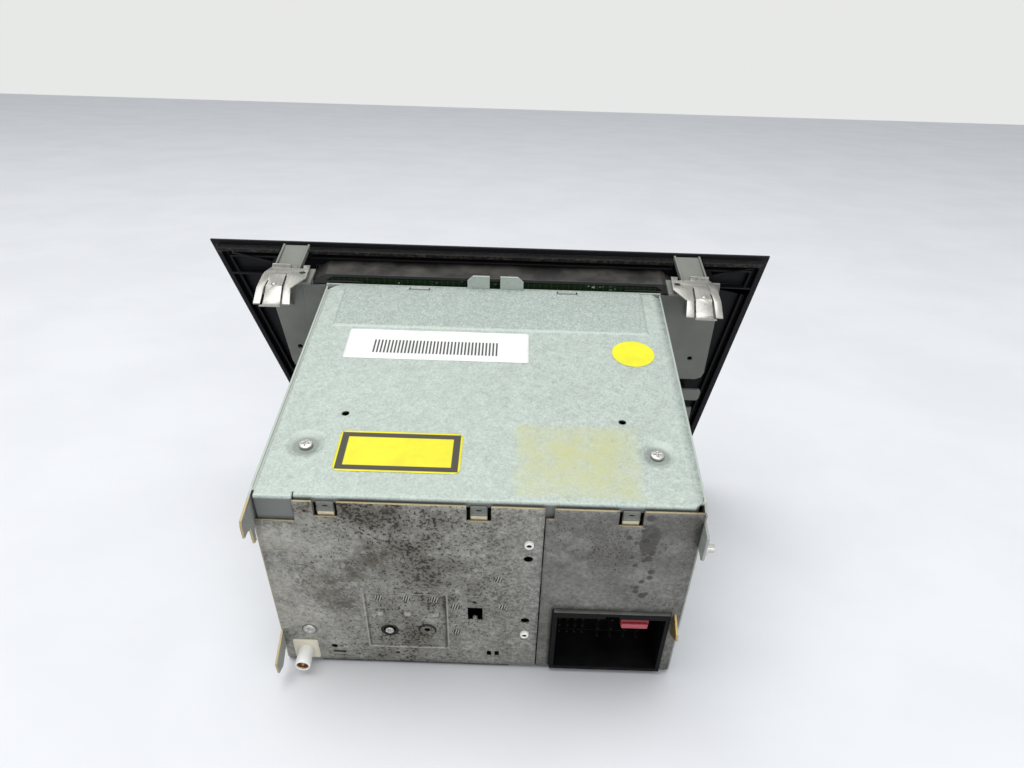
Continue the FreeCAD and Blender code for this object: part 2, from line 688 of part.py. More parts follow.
def main_board():
    edge = SIDE - 6
    notch_y = SHROUD_FRONT - 1.0
    board = box(-edge, edge, FRONT + 4, REAR - 5, BOARD_LEVEL, BOARD_LEVEL + BOARD_T)
    bay = box(-edge - 1, BAY_X[1] + 1, notch_y, REAR, BOARD_LEVEL - 1, BOARD_LEVEL + BOARD_T + 1)
    aerial = box(AERIAL_X - 6, edge + 1, REAR - 15, REAR, BOARD_LEVEL - 1, BOARD_LEVEL + BOARD_T + 1)
    screws = [rod("z", p, 1.2, BOARD_LEVEL - 1, BOARD_LEVEL + 3) for p in standoffs()]
    riser = box(BAY_X[0] + 4, BAY_X[1] - 2, SHROUD_FRONT - 2.6, SHROUD_FRONT - 1.0,
                BOARD_LEVEL + BOARD_T - 0.5, 31.0)
    board = cut(board, bay, aerial, *screws)
    holes = [box(x - 0.55, x + 0.55, SHROUD_FRONT - 4, SHROUD_FRONT, z - 0.55, z + 0.55)
             for x, z in contact_places() if z > BOARD_LEVEL + BOARD_T]
    return cut(fuse(board, riser), *holes)


def amplifier_chip():
    """A power chip held against the amplifier panel, with its leads down to the board."""
    body = box(CHIP_X[0], CHIP_X[1], REAR - SHEET - 4.6, REAR - SHEET, CHIP_Z[0], CHIP_Z[1])
    pieces = [body]
    count = 13
    lead_y = SHROUD_FRONT - 5.0
    for n in range(count):
        x = CHIP_X[0] + 3 + (CHIP_X[1] - CHIP_X[0] - 6) * n / (count - 1)
        pieces.append(box(x - 0.35, x + 0.35, lead_y, REAR - SHEET - 4.5, CHIP_Z[0] + 1.5,
                          CHIP_Z[0] + 2.1))
        pieces.append(box(x - 0.35, x + 0.35, lead_y, lead_y + 0.6, BOARD_LEVEL + BOARD_T,
                          CHIP_Z[0] + 2.1))
    return fuse(*pieces)


def capacitors():
    """Upright smoothing capacitors on the main board."""
    cans = []
    top = BOARD_LEVEL + BOARD_T
    for x, y, r, h in ((-20, 30, 8, 26), (0, 34, 6.5, 20), (18, 30, 6.5, 20), (-60, 10, 5, 12),
                       (-46, 10, 5, 12), (-32, 8, 5, 12), (34, -20, 4, 11), (46, -20, 4, 11)):
        can = rod("z", (x, y), r, top, top + h)
        rim = [e for e in can.Edges if e.Closed and abs(e.CenterOfMass.z - top - h) < 0.01]
        score = box(x - r * 0.7, x + r * 0.7, y - 0.3, y + 0.3, top + h - 0.4, top + h + 1)
        cans.append(cut(can.makeFillet(0.8, rim), score))
    return Part.makeCompound(cans)


def tuner_can():
    """A screened tuner box on the board."""
    top = BOARD_LEVEL + BOARD_T
    can = box(CAN_X[0], CAN_X[1], 16, 56, top, top + 16)
    hollow = box(CAN_X[0] + 0.6, CAN_X[1] - 0.6, 16.6, 55.4, top - 1, top + 15.4)
    vents = [rod("z", (CAN_X[0] + 10 + 8 * i, 30 + 12 * j), 1.5, top + 10, top + 20)
             for i in range(4) for j in range(2)]
    return cut(can, hollow, *vents)


# Mechanism, in the spindle's frame: origin on the spindle axis at the disc's seat


def mech_frame():
    """Fixed sheet frame that hangs from the cover and holds the dampers."""
    t = SHEET
    sides = [box(way * FRAME_X - (t if way > 0 else 0), way * FRAME_X + (0 if way > 0 else t),
                 FRAME_FRONT, FRAME_REAR, FRAME_LOW, FRAME_TOP) for way in (-1, 1)]
    tops = [box(FRAME_X - 9 if way > 0 else -FRAME_X, FRAME_X if way > 0 else -FRAME_X + 9,
                FRAME_FRONT, FRAME_REAR, FRAME_TOP - t, FRAME_TOP) for way in (-1, 1)]
    face = box(-FRAME_X, FRAME_X, FRAME_FRONT, FRAME_FRONT + t, FRAME_LOW, FRAME_TOP)
    bar = box(-FRAME_X, FRAME_X, FRAME_REAR - t, FRAME_REAR, FRAME_LOW, FRAME_LOW + 12)
    hooks = [box(way * SLIT_X - 4.8, way * SLIT_X + 4.8, FRAME_FRONT, FRAME_FRONT + t, FRAME_TOP - 1,
                 BOX_H + 0.5 - SEAT_Z) for way in (-1, 1)]
    tabs = [box(DECK_X - 0.5 if way > 0 else -FRAME_X + t, FRAME_X - t if way > 0 else -DECK_X + 0.5,
                y - 5, y + 5, TAB_Z, TAB_Z + t) for way in (-1, 1) for y in DAMPER_Y]
    frame = fuse(face, bar, *sides, *tops, *hooks, *tabs)
    cuts = [box(-SLOT_W / 2 - 3, SLOT_W / 2 + 3, FRAME_FRONT - 1, FRAME_FRONT + 2, 0.0,
                SEAT_BELOW_SLOT + 5.6),
            box(-56, 56, FRAME_FRONT - 1, FRAME_FRONT + 2, FRAME_LOW + 6, -8)]
    for way in (-1, 1):
        at = (way * MECH_SCREW_X, MECH_SCREW_Y - SPINDLE_Y)
        cuts.append(rod("z", at, PIN_R, FRAME_TOP - 3, FRAME_TOP + 1))
        for y in DAMPER_Y:
            cuts.append(rod("z", (way * DAMPER_X, y), BUSH_NECK_R, TAB_Z - 1, TAB_Z + 2))
        x = way * FRAME_X
        for y in (-38.0, 8.0):
            cuts.append(box(x - 2, x + 2, y, y + 28, FRAME_LOW + 8, FRAME_TOP - 12))
    return cut(frame, *cuts)


def damper_bushes():
    """Rubber bushes clipped into the frame's tabs; the deck's pins float in them."""
    bushes = []
    top = DECK_TOP - SHEET - DECK_TRAVEL - PLAY
    for way in (-1, 1):
        for y in DAMPER_Y:
            at = (way * DAMPER_X, y)
            bush = fuse(rod("z", at, BUSH_R, TAB_Z - 1.6, TAB_Z),
                        rod("z", at, BUSH_NECK_R, TAB_Z, TAB_Z + SHEET),
                        rod("z", at, BUSH_R, TAB_Z + SHEET, top))
            bushes.append(cut(bush, rod("z", at, DECK_PIN_R + RUN, TAB_Z - 3, top + 1)))
    return Part.makeCompound(bushes)


def player_deck():
    """The floating deck: plate, side walls, disc guide, rod posts, studs and ears."""
    t = SHEET
    plate = box(-DECK_X, DECK_X, DECK_FRONT, DECK_REAR, DECK_TOP - t, DECK_TOP)
    pieces = [plate]
    for way in (-1, 1):
        inner = way * (DECK_X - t)
        outer = way * DECK_X
        x0, x1 = min(inner, outer), max(inner, outer)
        pieces.append(box(x0, x1, DECK_FRONT, DECK_REAR, DECK_TOP, ARM_PIVOT[1] + 4))
        for y in DAMPER_Y:
            ear0, ear1 = sorted((way * (DECK_X - t), way * (DAMPER_X + 3)))
            pieces.append(box(ear0, ear1, y - 4, y + 4, DECK_TOP - t, DECK_TOP))
            pieces.append(rod("z", (way * DAMPER_X, y), DECK_PIN_R, TAB_Z - 3, DECK_TOP - t / 2))
        for end0, end1 in ((ROD_X[0], ROD_X[0] + 4), (ROD_X[1] - 1.7, ROD_X[1])):
            pieces.append(box(end0, end1, way * ROD_Y - 3, way * ROD_Y + 3, DECK_TOP - t / 2,
                              ROD_Z + 3))
    pieces.append(box(-DECK_X + t / 2, DECK_X - t / 2, DECK_FRONT, DECK_FRONT + 10, GUIDE_Z,
                      GUIDE_Z + t))
    for y in STUD_Y:
        pieces.append(rod("x", (y, STUD_Z), PIN_R, SLIDER_X - 1.2, -DECK_X + t / 2))
        pieces.append(rod("x", (y, STUD_Z), 2.6, SLIDER_X - 1.9, SLIDER_X - 1.2))
    pieces.append(rod("z", SLED_GEAR_AT, MID_R, DECK_TOP - t / 2, ROD_Z - 0.4))
    pieces.append(rod("z", SLED_GEAR_AT, 2.2, DECK_TOP - t / 2, ROD_Z - 3.2))
    deck = fuse(*pieces)
    cuts = [rod("x", BRACKET_PIVOT, PIN_R + RUN, -DECK_X - 1, -DECK_X + 2),
            rod("x", BRACKET_PIVOT, PIN_R + RUN, DECK_X - 2, DECK_X + 1),
            rod("x", ARM_PIVOT, PIN_R + RUN, -DECK_X - 1, -DECK_X + 2),
            rod("x", ARM_PIVOT, PIN_R + RUN, DECK_X - 2, DECK_X + 1),
            box(-DECK_X - 0.5, -DECK_X + 1.5, BRACKET_PIN[0] - 4, BRACKET_PIN[0] + 4,
                BRACKET_PIN[1] - 9, BRACKET_PIN[1] + 5),
            box(-DECK_X - 0.5, -DECK_X + 1.5, ARM_PIN[0] - 4, ARM_PIN[0] + 4, ARM_PIN[1] - 4, 40),
            box(GEAR_X[0] - 2, GEAR_X[1] + 1, DECK_FRONT - 1, -32, DECK_TOP - 3, DECK_TOP + 1),
            box(38, 64, -14, 14, DECK_TOP - 3, DECK_TOP + 1),
            rod("z", (0, 0), 4.0, DECK_TOP - 3, DECK_TOP + 1),
            rod("z", SLED_PINION_AT, 2.4, DECK_TOP - 3, DECK_TOP + 1)]
    for way in (-1, 1):
        cuts.append(box(-55, -27, way * 36 - 12, way * 36 + 12, DECK_TOP - 3, DECK_TOP + 1))
        cuts.append(box(DECK_X - 2 if way > 0 else -DECK_X - 1, DECK_X + 1 if way > 0 else -DECK_X + 2,
                        -24, 34, -5, 40))
        for end0, end1 in ((ROD_X[0] - 1, ROD_X[0] + 5), (ROD_X[1] - 2.2, ROD_X[1])):
            cuts.append(rod("x", (way * ROD_Y, ROD_Z), PIN_R + 0.01, end0, end1))
    return cut(deck, *cuts)


def spindle_motor():
    body = rod("z", (0, 0), 12.0, DECK_TOP, DECK_TOP + 10.4)
    body = body.makeFillet(0.8, [e for e in body.Edges
                                 if e.Closed and abs(e.CenterOfMass.z - DECK_TOP - 10.4) < 0.01])
    boss = rod("z", (0, 0), 4.0, DECK_TOP + 10, DECK_TOP + 11.4)
    lug = box(-3, 3, -15, 15, DECK_TOP, DECK_TOP + 1)
    bore = rod("z", (0, 0), MID_R + RUN, DECK_TOP + 1.5, DECK_TOP + 12)
    return cut(fuse(body, boss, lug), bore)


def turntable():
    """Shaft, hub, disc seat and centring cone."""
    shaft = rod("z", (0, 0), MID_R, DECK_TOP + 2, -5.0)
    hub = rod("z", (0, 0), 6.5, -5.4, -1.6)
    seat = rod("z", (0, 0), 15.0, -1.6, 0)
    seat = cut(seat, rod("z", (0, 0), 13.6, -0.4, 1).cut(rod("z", (0, 0), 9.0, -1, 2)))
    nose = cone((0, 0), 7.4, 5.6, -0.1, CONE_H)
    return fuse(shaft, hub, seat, nose)


def arm_rest(shape):
    """The clamp arm's pieces are drawn closed and stored open."""
    return turned(shape, ARM_PIVOT, -ARM_CLOSE_DEG)


def clamp_arm():
    t = SHEET
    z0, z1 = ARM_Z, ARM_Z + t
    reach = DECK_X - 2
    beam = box(-reach, reach, ARM_PIVOT[0] - 10, ARM_PIVOT[0] + 3, z0, z1)
    tongue = prism([(-24, 58), (24, 58), (15, 4), (-15, 4)], "z", z0, z1)
    ring = rod("z", (0, 0), PUCK_R + 4, z0, z1)
    rail = box(-reach, -reach + 6, ARM_PIN[0] - 3, ARM_PIVOT[0] - 9, z0, z1)
    pieces = [beam, tongue, ring, rail]
    for way in (-1, 1):
        lip = prism([(way * 23.5, 57), (way * 22.5, 57), (way * 18.0, 24), (way * 19.0, 24)], "z",
                    z0, z1 + 2.5)
        pieces.append(lip)
        ear0, ear1 = sorted((way * (reach - 1.5), way * reach))
        y, z = ARM_PIVOT
        pieces.append(prism([(y - 3.5, z - 2), (y - 1.5, z - 3.5), (y + 2.5, z - 3.5), (y + 3, z),
                             (y + 2, z + 3.5), (y - 2, z + 3.5), (y - 3.5, z + 1)], "x", ear0, ear1))
        pin0, pin1 = sorted((way * (reach - 1), way * (DECK_X + 0.2)))
        pieces.append(rod("x", ARM_PIVOT, PIN_R, pin0, pin1))
    pieces.append(rod("x", ARM_PIN, PIN_R, SLIDER_X - 1.2, -reach + 2))
    arm = fuse(*pieces)
    arm = cut(arm, rod("z", (0, 0), 9.0 + RUN, z0 - 1, z1 + 1), box(-8, 8, 26, 50, z0 - 1, z1 + 1))
    return arm_rest(arm)


def clamp_puck():
    """The free-turning puck that presses the disc on the cone."""
    low = DISC_T + 0.1
    disc = rod("z", (0, 0), PUCK_R, low, low + 3.2)
    neck = rod("z", (0, 0), 9.0, low + 3, ARM_Z + SHEET + 0.5)
    flange = rod("z", (0, 0), 11.5, ARM_Z + SHEET + 0.05, ARM_Z + SHEET + 1.6)
    recess = rod("z", (0, 0), 8.0, low - 1, low + 2.4)
    return arm_rest(cut(fuse(disc, neck, flange), recess))


def slider_ratio(degrees):
    """Degrees of a driven piece per millimetre of slider travel."""
    return degrees / SLIDER_IN


def driven_slot(pin, pivot, rest_degrees, degrees):
    """The slot in the slider that a turning pin follows, over the slider's whole travel."""
    ends = []
    for travel in (-SLIDER_OUT - 0.4, SLIDER_IN + 0.4):
        y, z = turn_point(pin, pivot, rest_degrees + slider_ratio(degrees) * travel)
        ends.append((y - travel, z))
    return slot_along(ends[0], ends[1], PIN_R + 0.45, SLIDER_X - 1, SLIDER_X + 3)


def mode_slider():
    """Flat slider outside the deck's left wall; it moves the clamp arm and the roller bracket."""
    low = STUD_Z - 3
    front = BRACKET_PIN[0] - SLIDER_IN - 3.5
    back = ARM_PIN[0] + SLIDER_OUT + 9
    outline = [(front, low), (back, low), (back, ARM_PIN[1] + 8),
               (ARM_PIN[0] - SLIDER_IN - 3, ARM_PIN[1] + 8), (ARM_PIN[0] - SLIDER_IN - 5, STUD_Z + 3),
               (BRACKET_PIN[0] + SLIDER_OUT + 8, STUD_Z + 3),
               (BRACKET_PIN[0] + SLIDER_OUT + 6, BRACKET_PIN[1] + 8), (front, BRACKET_PIN[1] + 8)]
    plate = prism(outline, "x", SLIDER_X, SLIDER_X + SHEET)
    cuts = [driven_slot(BRACKET_PIN, BRACKET_PIVOT, 0.0, BRACKET_DROP_DEG),
            driven_slot(ARM_PIN, ARM_PIVOT, -ARM_CLOSE_DEG, ARM_CLOSE_DEG)]
    for y in STUD_Y:
        cuts.append(slot_along((y - SLIDER_IN - 0.3, STUD_Z), (y + SLIDER_OUT + 0.3, STUD_Z),
                               PIN_R + RUN, SLIDER_X - 1, SLIDER_X + 3))
    return cut(plate, *cuts)


def train_places():
    """The idler's (y, z), from the roller's and motor's places and the pitch radii."""
    roller_idler = MODULE * (ROLLER_TEETH + IDLER_TEETH) / 2
    idler_motor = MODULE * (IDLER_TEETH + PINION_TEETH) / 2
    dy = MOTOR_AT[0] - ROLLER_AT[0]
    dz = MOTOR_AT[1] - ROLLER_AT[1]
    span = math.hypot(dy, dz)
    along = (roller_idler ** 2 - idler_motor ** 2 + span ** 2) / (2 * span)
    across = math.sqrt(roller_idler ** 2 - along ** 2)
    uy, uz = dy / span, dz / span
    return (ROLLER_AT[0] + along * uy - across * uz, ROLLER_AT[1] + along * uz + across * uy)


IDLER_AT = train_places()


def roller_bracket():
    """Swinging bracket with the roller's bearings, the idler's axle and the motor's seat."""
    py, pz = BRACKET_PIVOT
    ry, rz = ROLLER_AT
    iy, iz = IDLER_AT
    plain = [(py + 3.5, pz - 3), (py + 3.5, pz + 3), (ry + 6, rz + 4), (ry - 3.6, rz + 4),
             (ry - 4, rz - 3), (ry + 4, rz - 6.8), (py - 6, pz - 5.5)]
    geared = [(py + 3.5, pz - 3), (py + 3.5, pz + 3), (iy + 6, iz + 4), (iy - 4, iz + 4),
              (ry + 4, rz + 4), (ry - 3.6, rz + 4), (ry - 4, rz - 3), (ry + 4, rz - 6.8),
              (MOTOR_AT[0] - 5, MOTOR_AT[1] - 5.8), (MOTOR_AT[0] + 6, MOTOR_AT[1] - 5.8)]
    left = prism(plain, "x", -BRACKET_X - BRACKET_T, -BRACKET_X)
    right = prism(geared, "x", BRACKET_X, BRACKET_X + BRACKET_T)
    bar = box(-BRACKET_X - 0.5, BRACKET_X + 0.5, ry + 6, ry + 13, rz - 6.5, rz - 5.5)
    pieces = [left, right, bar]
    for way in (-1, 1):
        a0, a1 = sorted((way * BRACKET_X, way * (DECK_X + 0.2)))
        pieces.append(rod("x", BRACKET_PIVOT, PIN_R, a0, a1))
    pieces.append(rod("x", BRACKET_PIN, PIN_R, SLIDER_X - 1.2, -BRACKET_X))
    pieces.append(rod("x", IDLER_AT, PIN_R, BRACKET_X, GEAR_X[1] + 0.8))
    pieces.append(rod("x", IDLER_AT, 2.4, GEAR_X[1] + 0.3, GEAR_X[1] + 0.8))
    pieces.append(rod("x", IDLER_AT, 2.4, BRACKET_X, GEAR_X[0] - 0.3))
    bracket = fuse(*pieces)
    return cut(bracket, rod("x", ROLLER_AT, PIN_R + RUN, -BRACKET_X - 3, BRACKET_X + 3),
               rod("x", MOTOR_AT, 2.4, BRACKET_X - 1, BRACKET_X + 3))


def loading_roller():
    """Rubber sleeve, slightly waisted so the disc's rim alone touches it."""
    half = SLOT_W / 2 - 2
    waist = ROLLER_R - 0.5
    y, z = ROLLER_AT
    ends = [Part.makeCone(ROLLER_R, waist, half, V(-half, y, z), V(1, 0, 0)),
            Part.makeCone(waist, ROLLER_R, half, V(0, y, z), V(1, 0, 0))]
    return cut(fuse(*ends), rod("x", ROLLER_AT, PIN_R + 0.01, -half - 1, half + 1))


TO_IDLER = math.atan2(IDLER_AT[1] - ROLLER_AT[1], IDLER_AT[0] - ROLLER_AT[0])
TO_MOTOR = math.atan2(MOTOR_AT[1] - IDLER_AT[1], MOTOR_AT[0] - IDLER_AT[0])
IDLER_PHASE = meshed_phase(IDLER_TEETH, TO_IDLER)


def roller_shaft():
    wheel = gear(ROLLER_TEETH, TO_IDLER, "x", ROLLER_AT, GEAR_X[0], GEAR_X[1], 0)
    shaft = rod("x", ROLLER_AT, PIN_R, -BRACKET_X - BRACKET_T - 0.8, GEAR_X[1] + 0.4)
    return fuse(wheel, shaft)


def idler_gear():
    wheel = gear(IDLER_TEETH, IDLER_PHASE, "x", IDLER_AT, GEAR_X[0], GEAR_X[1], PIN_R + RUN)
    holes = []
    for n in range(6):
        angle = 2 * math.pi * n / 6
        at = (IDLER_AT[0] + 6 * math.cos(angle), IDLER_AT[1] + 6 * math.sin(angle))
        holes.append(rod("x", at, 1.8, GEAR_X[0] - 1, GEAR_X[1] + 1))
    return cut(wheel, *holes)


def loading_motor():
    y, z = MOTOR_AT
    body = rod("x", MOTOR_AT, 6.0, BRACKET_X - 18, BRACKET_X)
    tail = rod("x", MOTOR_AT, 2.5, BRACKET_X - 19.5, BRACKET_X - 17)
    flats = []
    for way in (-1, 1):
        z0, z1 = sorted((z + way * 5.2, z + way * 7.2))
        flats.append(box(BRACKET_X - 20, BRACKET_X + 1, y - 8, y + 8, z0, z1))
    shaft = rod("x", MOTOR_AT, FINE_R + 0.05, BRACKET_X - 16, BRACKET_X + 1)
    return cut(fuse(body, tail), shaft, *flats)


def motor_pinion():
    phase = carried_phase(IDLER_TEETH, IDLER_PHASE, TO_MOTOR, PINION_TEETH)
    wheel = gear(PINION_TEETH, phase, "x", MOTOR_AT, GEAR_X[0], GEAR_X[1], 0)
    shaft = rod("x", MOTOR_AT, FINE_R, BRACKET_X - 14, GEAR_X[0] + 0.5)
    return fuse(wheel, shaft)


def rack_teeth():
    """Straight rack teeth that point to -Y; a gap is centred on the sled gear."""
    pitch = math.pi * MODULE
    tip = RACK_PITCH_Y - 0.8 * MODULE
    root = RACK_PITCH_Y + 1.1 * MODULE
    half = pitch / 4 - BACKLASH / 4
    slope = math.tan(PRESSURE)
    left = SLED_GEAR_AT[0] - SLED_TRAVEL - 5
    right = SLED_GEAR_AT[0] + 6
    first = math.ceil((left + 1.2 - SLED_GEAR_AT[0]) / pitch - 0.5)
    last = math.floor((right - 1.2 - SLED_GEAR_AT[0]) / pitch - 0.5)
    points = [(left, root)]
    for n in range(first, last + 1):
        x = SLED_GEAR_AT[0] + (n + 0.5) * pitch
        low = half + 1.1 * MODULE * slope
        high = half - 0.8 * MODULE * slope
        points += [(x - low, root), (x - high, tip), (x + high, tip), (x + low, root)]
    points += [(right, root), (right, -25.5), (left, -25.5)]
    return prism(points, "z", RACK_Z[0], RACK_Z[1])


def laser_sled():
    """The pick-up's body on its two rods, with the rack and the focus shaft."""
    x0, x1 = SLED_X, SLED_X + SLED_L
    body = box(x0, x1, -26, 26, ROD_Z - 4, ROD_Z + 4)
    waist = [box(x0 - 1, x0 + 4, y, y + 6, ROD_Z - 5, ROD_Z + 5) for y in (8, -14)]
    shaft = rod("z", (FOCUS_X, 0), FINE_R, ROD_Z + 3, ROD_Z + 8)
    optic = rod("z", (LENS_X, 0), 3.0, ROD_Z - 5.5, ROD_Z)
    sled = fuse(cut(body, *waist), rack_teeth(), shaft, optic)
    near = rod("x", (-ROD_Y, ROD_Z), PIN_R + RUN, x0 - 1, x1 + 1)
    far = box(x0 - 1, x1 + 1, ROD_Y - PIN_R - 0.3, ROD_Y + 8, ROD_Z - PIN_R - RUN,
              ROD_Z + PIN_R + RUN)
    well = rod("z", (LENS_X, 0), 3.0, ROD_Z + 2, ROD_Z + 5)
    return cut(sled, near, far, well)


def lens_holder():
    bar = box(LENS_X - 4.2, FOCUS_X + 3, -4.5, 4.5, ROD_Z + 4.6, ROD_Z + 6.6)
    boss = rod("z", (LENS_X, 0), 3.8, ROD_Z + 4.6, ROD_Z + 7.6)
    holder = fuse(bar, boss)
    return cut(holder, rod("z", (LENS_X, 0), 2.52, ROD_Z + 4, ROD_Z + 9),
               rod("z", (FOCUS_X, 0), FINE_R + 0.05, ROD_Z + 4, ROD_Z + 9))


def objective_lens():
    rim = rod("z", (LENS_X, 0), 2.5, ROD_Z + 5.4, ROD_Z + 7.2)
    dome_r = 4.2
    dome = Part.makeSphere(dome_r, V(LENS_X, 0, ROD_Z + 8.3 - dome_r))
    return fuse(rim, dome.common(rod("z", (LENS_X, 0), 2.4, ROD_Z + 7.0, ROD_Z + 9)))


def guide_rods():
    return Part.makeCompound([rod("x", (way * ROD_Y, ROD_Z), PIN_R, ROD_X[0], ROD_X[1])
                              for way in (-1, 1)])


def sled_gear():
    return gear(SLED_TEETH, SLED_PHASE, "z", SLED_GEAR_AT, RACK_Z[0], RACK_Z[1], MID_R + RUN)


def sled_pinion():
    phase = carried_phase(SLED_TEETH, SLED_PHASE, SLED_PINION_TURN, PINION_TEETH)
    wheel = gear(PINION_TEETH, phase, "z", SLED_PINION_AT, RACK_Z[0] - 0.4, RACK_Z[1] + 0.4, 0)
    shaft = rod("z", SLED_PINION_AT, FINE_R, DECK_TOP - 10, RACK_Z[0])
    return fuse(wheel, shaft)


def sled_motor():
    """Motor under the deck whose shaft comes up through it."""
    top = DECK_TOP - SHEET
    body = rod("z", SLED_PINION_AT, 7.0, top - 12, top)
    tail = rod("z", SLED_PINION_AT, 2.5, top - 13.5, top - 11)
    x, y = SLED_PINION_AT
    flats = []
    for way in (-1, 1):
        x0, x1 = sorted((x + way * 5.6, x + way * 8.6))
        flats.append(box(x0, x1, y - 9, y + 9, top - 15, top + 1))
    return cut(fuse(body, tail), rod("z", SLED_PINION_AT, FINE_R + 0.05, top - 10, top + 1), *flats)


# Front

def fascia_corners():
    """The four (x, z) corners, clockwise from the top left."""
    top = BOX_H + FASCIA_ABOVE
    low = -FASCIA_BELOW
    return [(-SIDE - FASCIA_TOP_LEFT, top), (SIDE + FASCIA_TOP_RIGHT, top),
            (SIDE + FASCIA_LOW_RIGHT, low), (-SIDE - FASCIA_LOW_LEFT, low)]


def inset(corners, distance):
    """A convex clockwise outline moved inwards by a distance."""
    count = len(corners)
    lines = []
    for n in range(count):
        (x0, z0), (x1, z1) = corners[n], corners[(n + 1) % count]
        length = math.hypot(x1 - x0, z1 - z0)
        nx, nz = (z1 - z0) / length, -(x1 - x0) / length
        lines.append((nx, nz, nx * x0 + nz * z0 + distance))
    points = []
    for n in range(count):
        a0, b0, c0 = lines[n - 1]
        a1, b1, c1 = lines[n]
        det = a0 * b1 - a1 * b0
        points.append(((c0 * b1 - c1 * b0) / det, (a0 * c1 - a1 * c0) / det))
    return points


def rim_wall(distance, thickness, height):
    """A wall round the back of the fascia, set in from its edge."""
    corners = fascia_corners()
    outer = prism(inset(corners, distance), "y", FASCIA_BACK - 0.5, FASCIA_BACK + height)
    inner = prism(inset(corners, distance + thickness), "y", FASCIA_BACK - 1, FASCIA_BACK + height + 1)
    return outer.cut(inner)


def rib(p0, p1, width, height):
    """A straight rib on the fascia's back between two (x, z) points."""
    length = math.hypot(p1[0] - p0[0], p1[1] - p0[1])
    ax, az = (p0[1] - p1[1]) * width / 2 / length, (p1[0] - p0[0]) * width / 2 / length
    outline = [(p0[0] + ax, p0[1] + az), (p1[0] + ax, p1[1] + az), (p1[0] - ax, p1[1] - az),
               (p0[0] - ax, p0[1] - az)]
    return prism(outline, "y", FASCIA_BACK - 0.5, FASCIA_BACK + height)


def fascia():
    corners = fascia_corners()
    plate = prism(corners, "y", FASCIA_FRONT, FASCIA_BACK)
    lip = [e for e in plate.Edges if abs(e.CenterOfMass.y - FASCIA_FRONT) < 0.01]
    plate = plate.makeChamfer(1.2, lip)
    pieces = [plate, rim_wall(RIM_INSET, WALL, RIM_H), rim_wall(RIM_INSET + 4.5, 1.2, RIM_H - 1)]
    top = BOX_H + FASCIA_ABOVE
    for way, low, high in ((1, SIDE + 33, SIDE + 56), (-1, SIDE + 30, SIDE + 52)):
        pieces.append(rib((way * low, top - 18.5), (way * high, top - 18.5), 1.2, RIM_H))
        pieces.append(rib((way * low, top - 11.0), (way * (high - 2), top - 5.5), 1.2, RIM_H))
    for x, z in POSTS:
        pieces.append(rod("y", (x, z), 4.0, FASCIA_BACK - 0.5, CARRIER_BACK - 1.5))
    body = fuse(*pieces)
    opening = box(-OPEN_X, OPEN_X, FASCIA_FRONT - 1, FASCIA_BACK + 1, OPEN_Z[0], OPEN_Z[1])
    holes = [rod("y", p, 1.2, FASCIA_BACK + 2, CARRIER_BACK) for p in POSTS]
    notches = [box(x - ARM_W / 2 - 0.9, x + ARM_W / 2 + 0.9, FASCIA_BACK, FASCIA_BACK + RIM_H + 1,
                   top - 12, top + 1) for x in (ARM_X_RIGHT - ARM_LEAN + 0.6, ARM_X_LEFT + ARM_LEAN - 0.6)]
    return cut(body, opening, *holes, *notches)


def button_window(x, z, w, h):
    return rounded(x - w / 2 - PLAY, x + w / 2 + PLAY, z - h / 2 - PLAY, z + h / 2 + PLAY, 1.2,
                   TRIM_FRONT - 1, FASCIA_FRONT + 4)


def rockers():
    """Node name and centre X of each preset rocker."""
    return [("preset_rocker_%d_%d" % (2 * n + 1, 2 * n + 2), (n - 1) * ROCKER_PITCH) for n in range(3)]


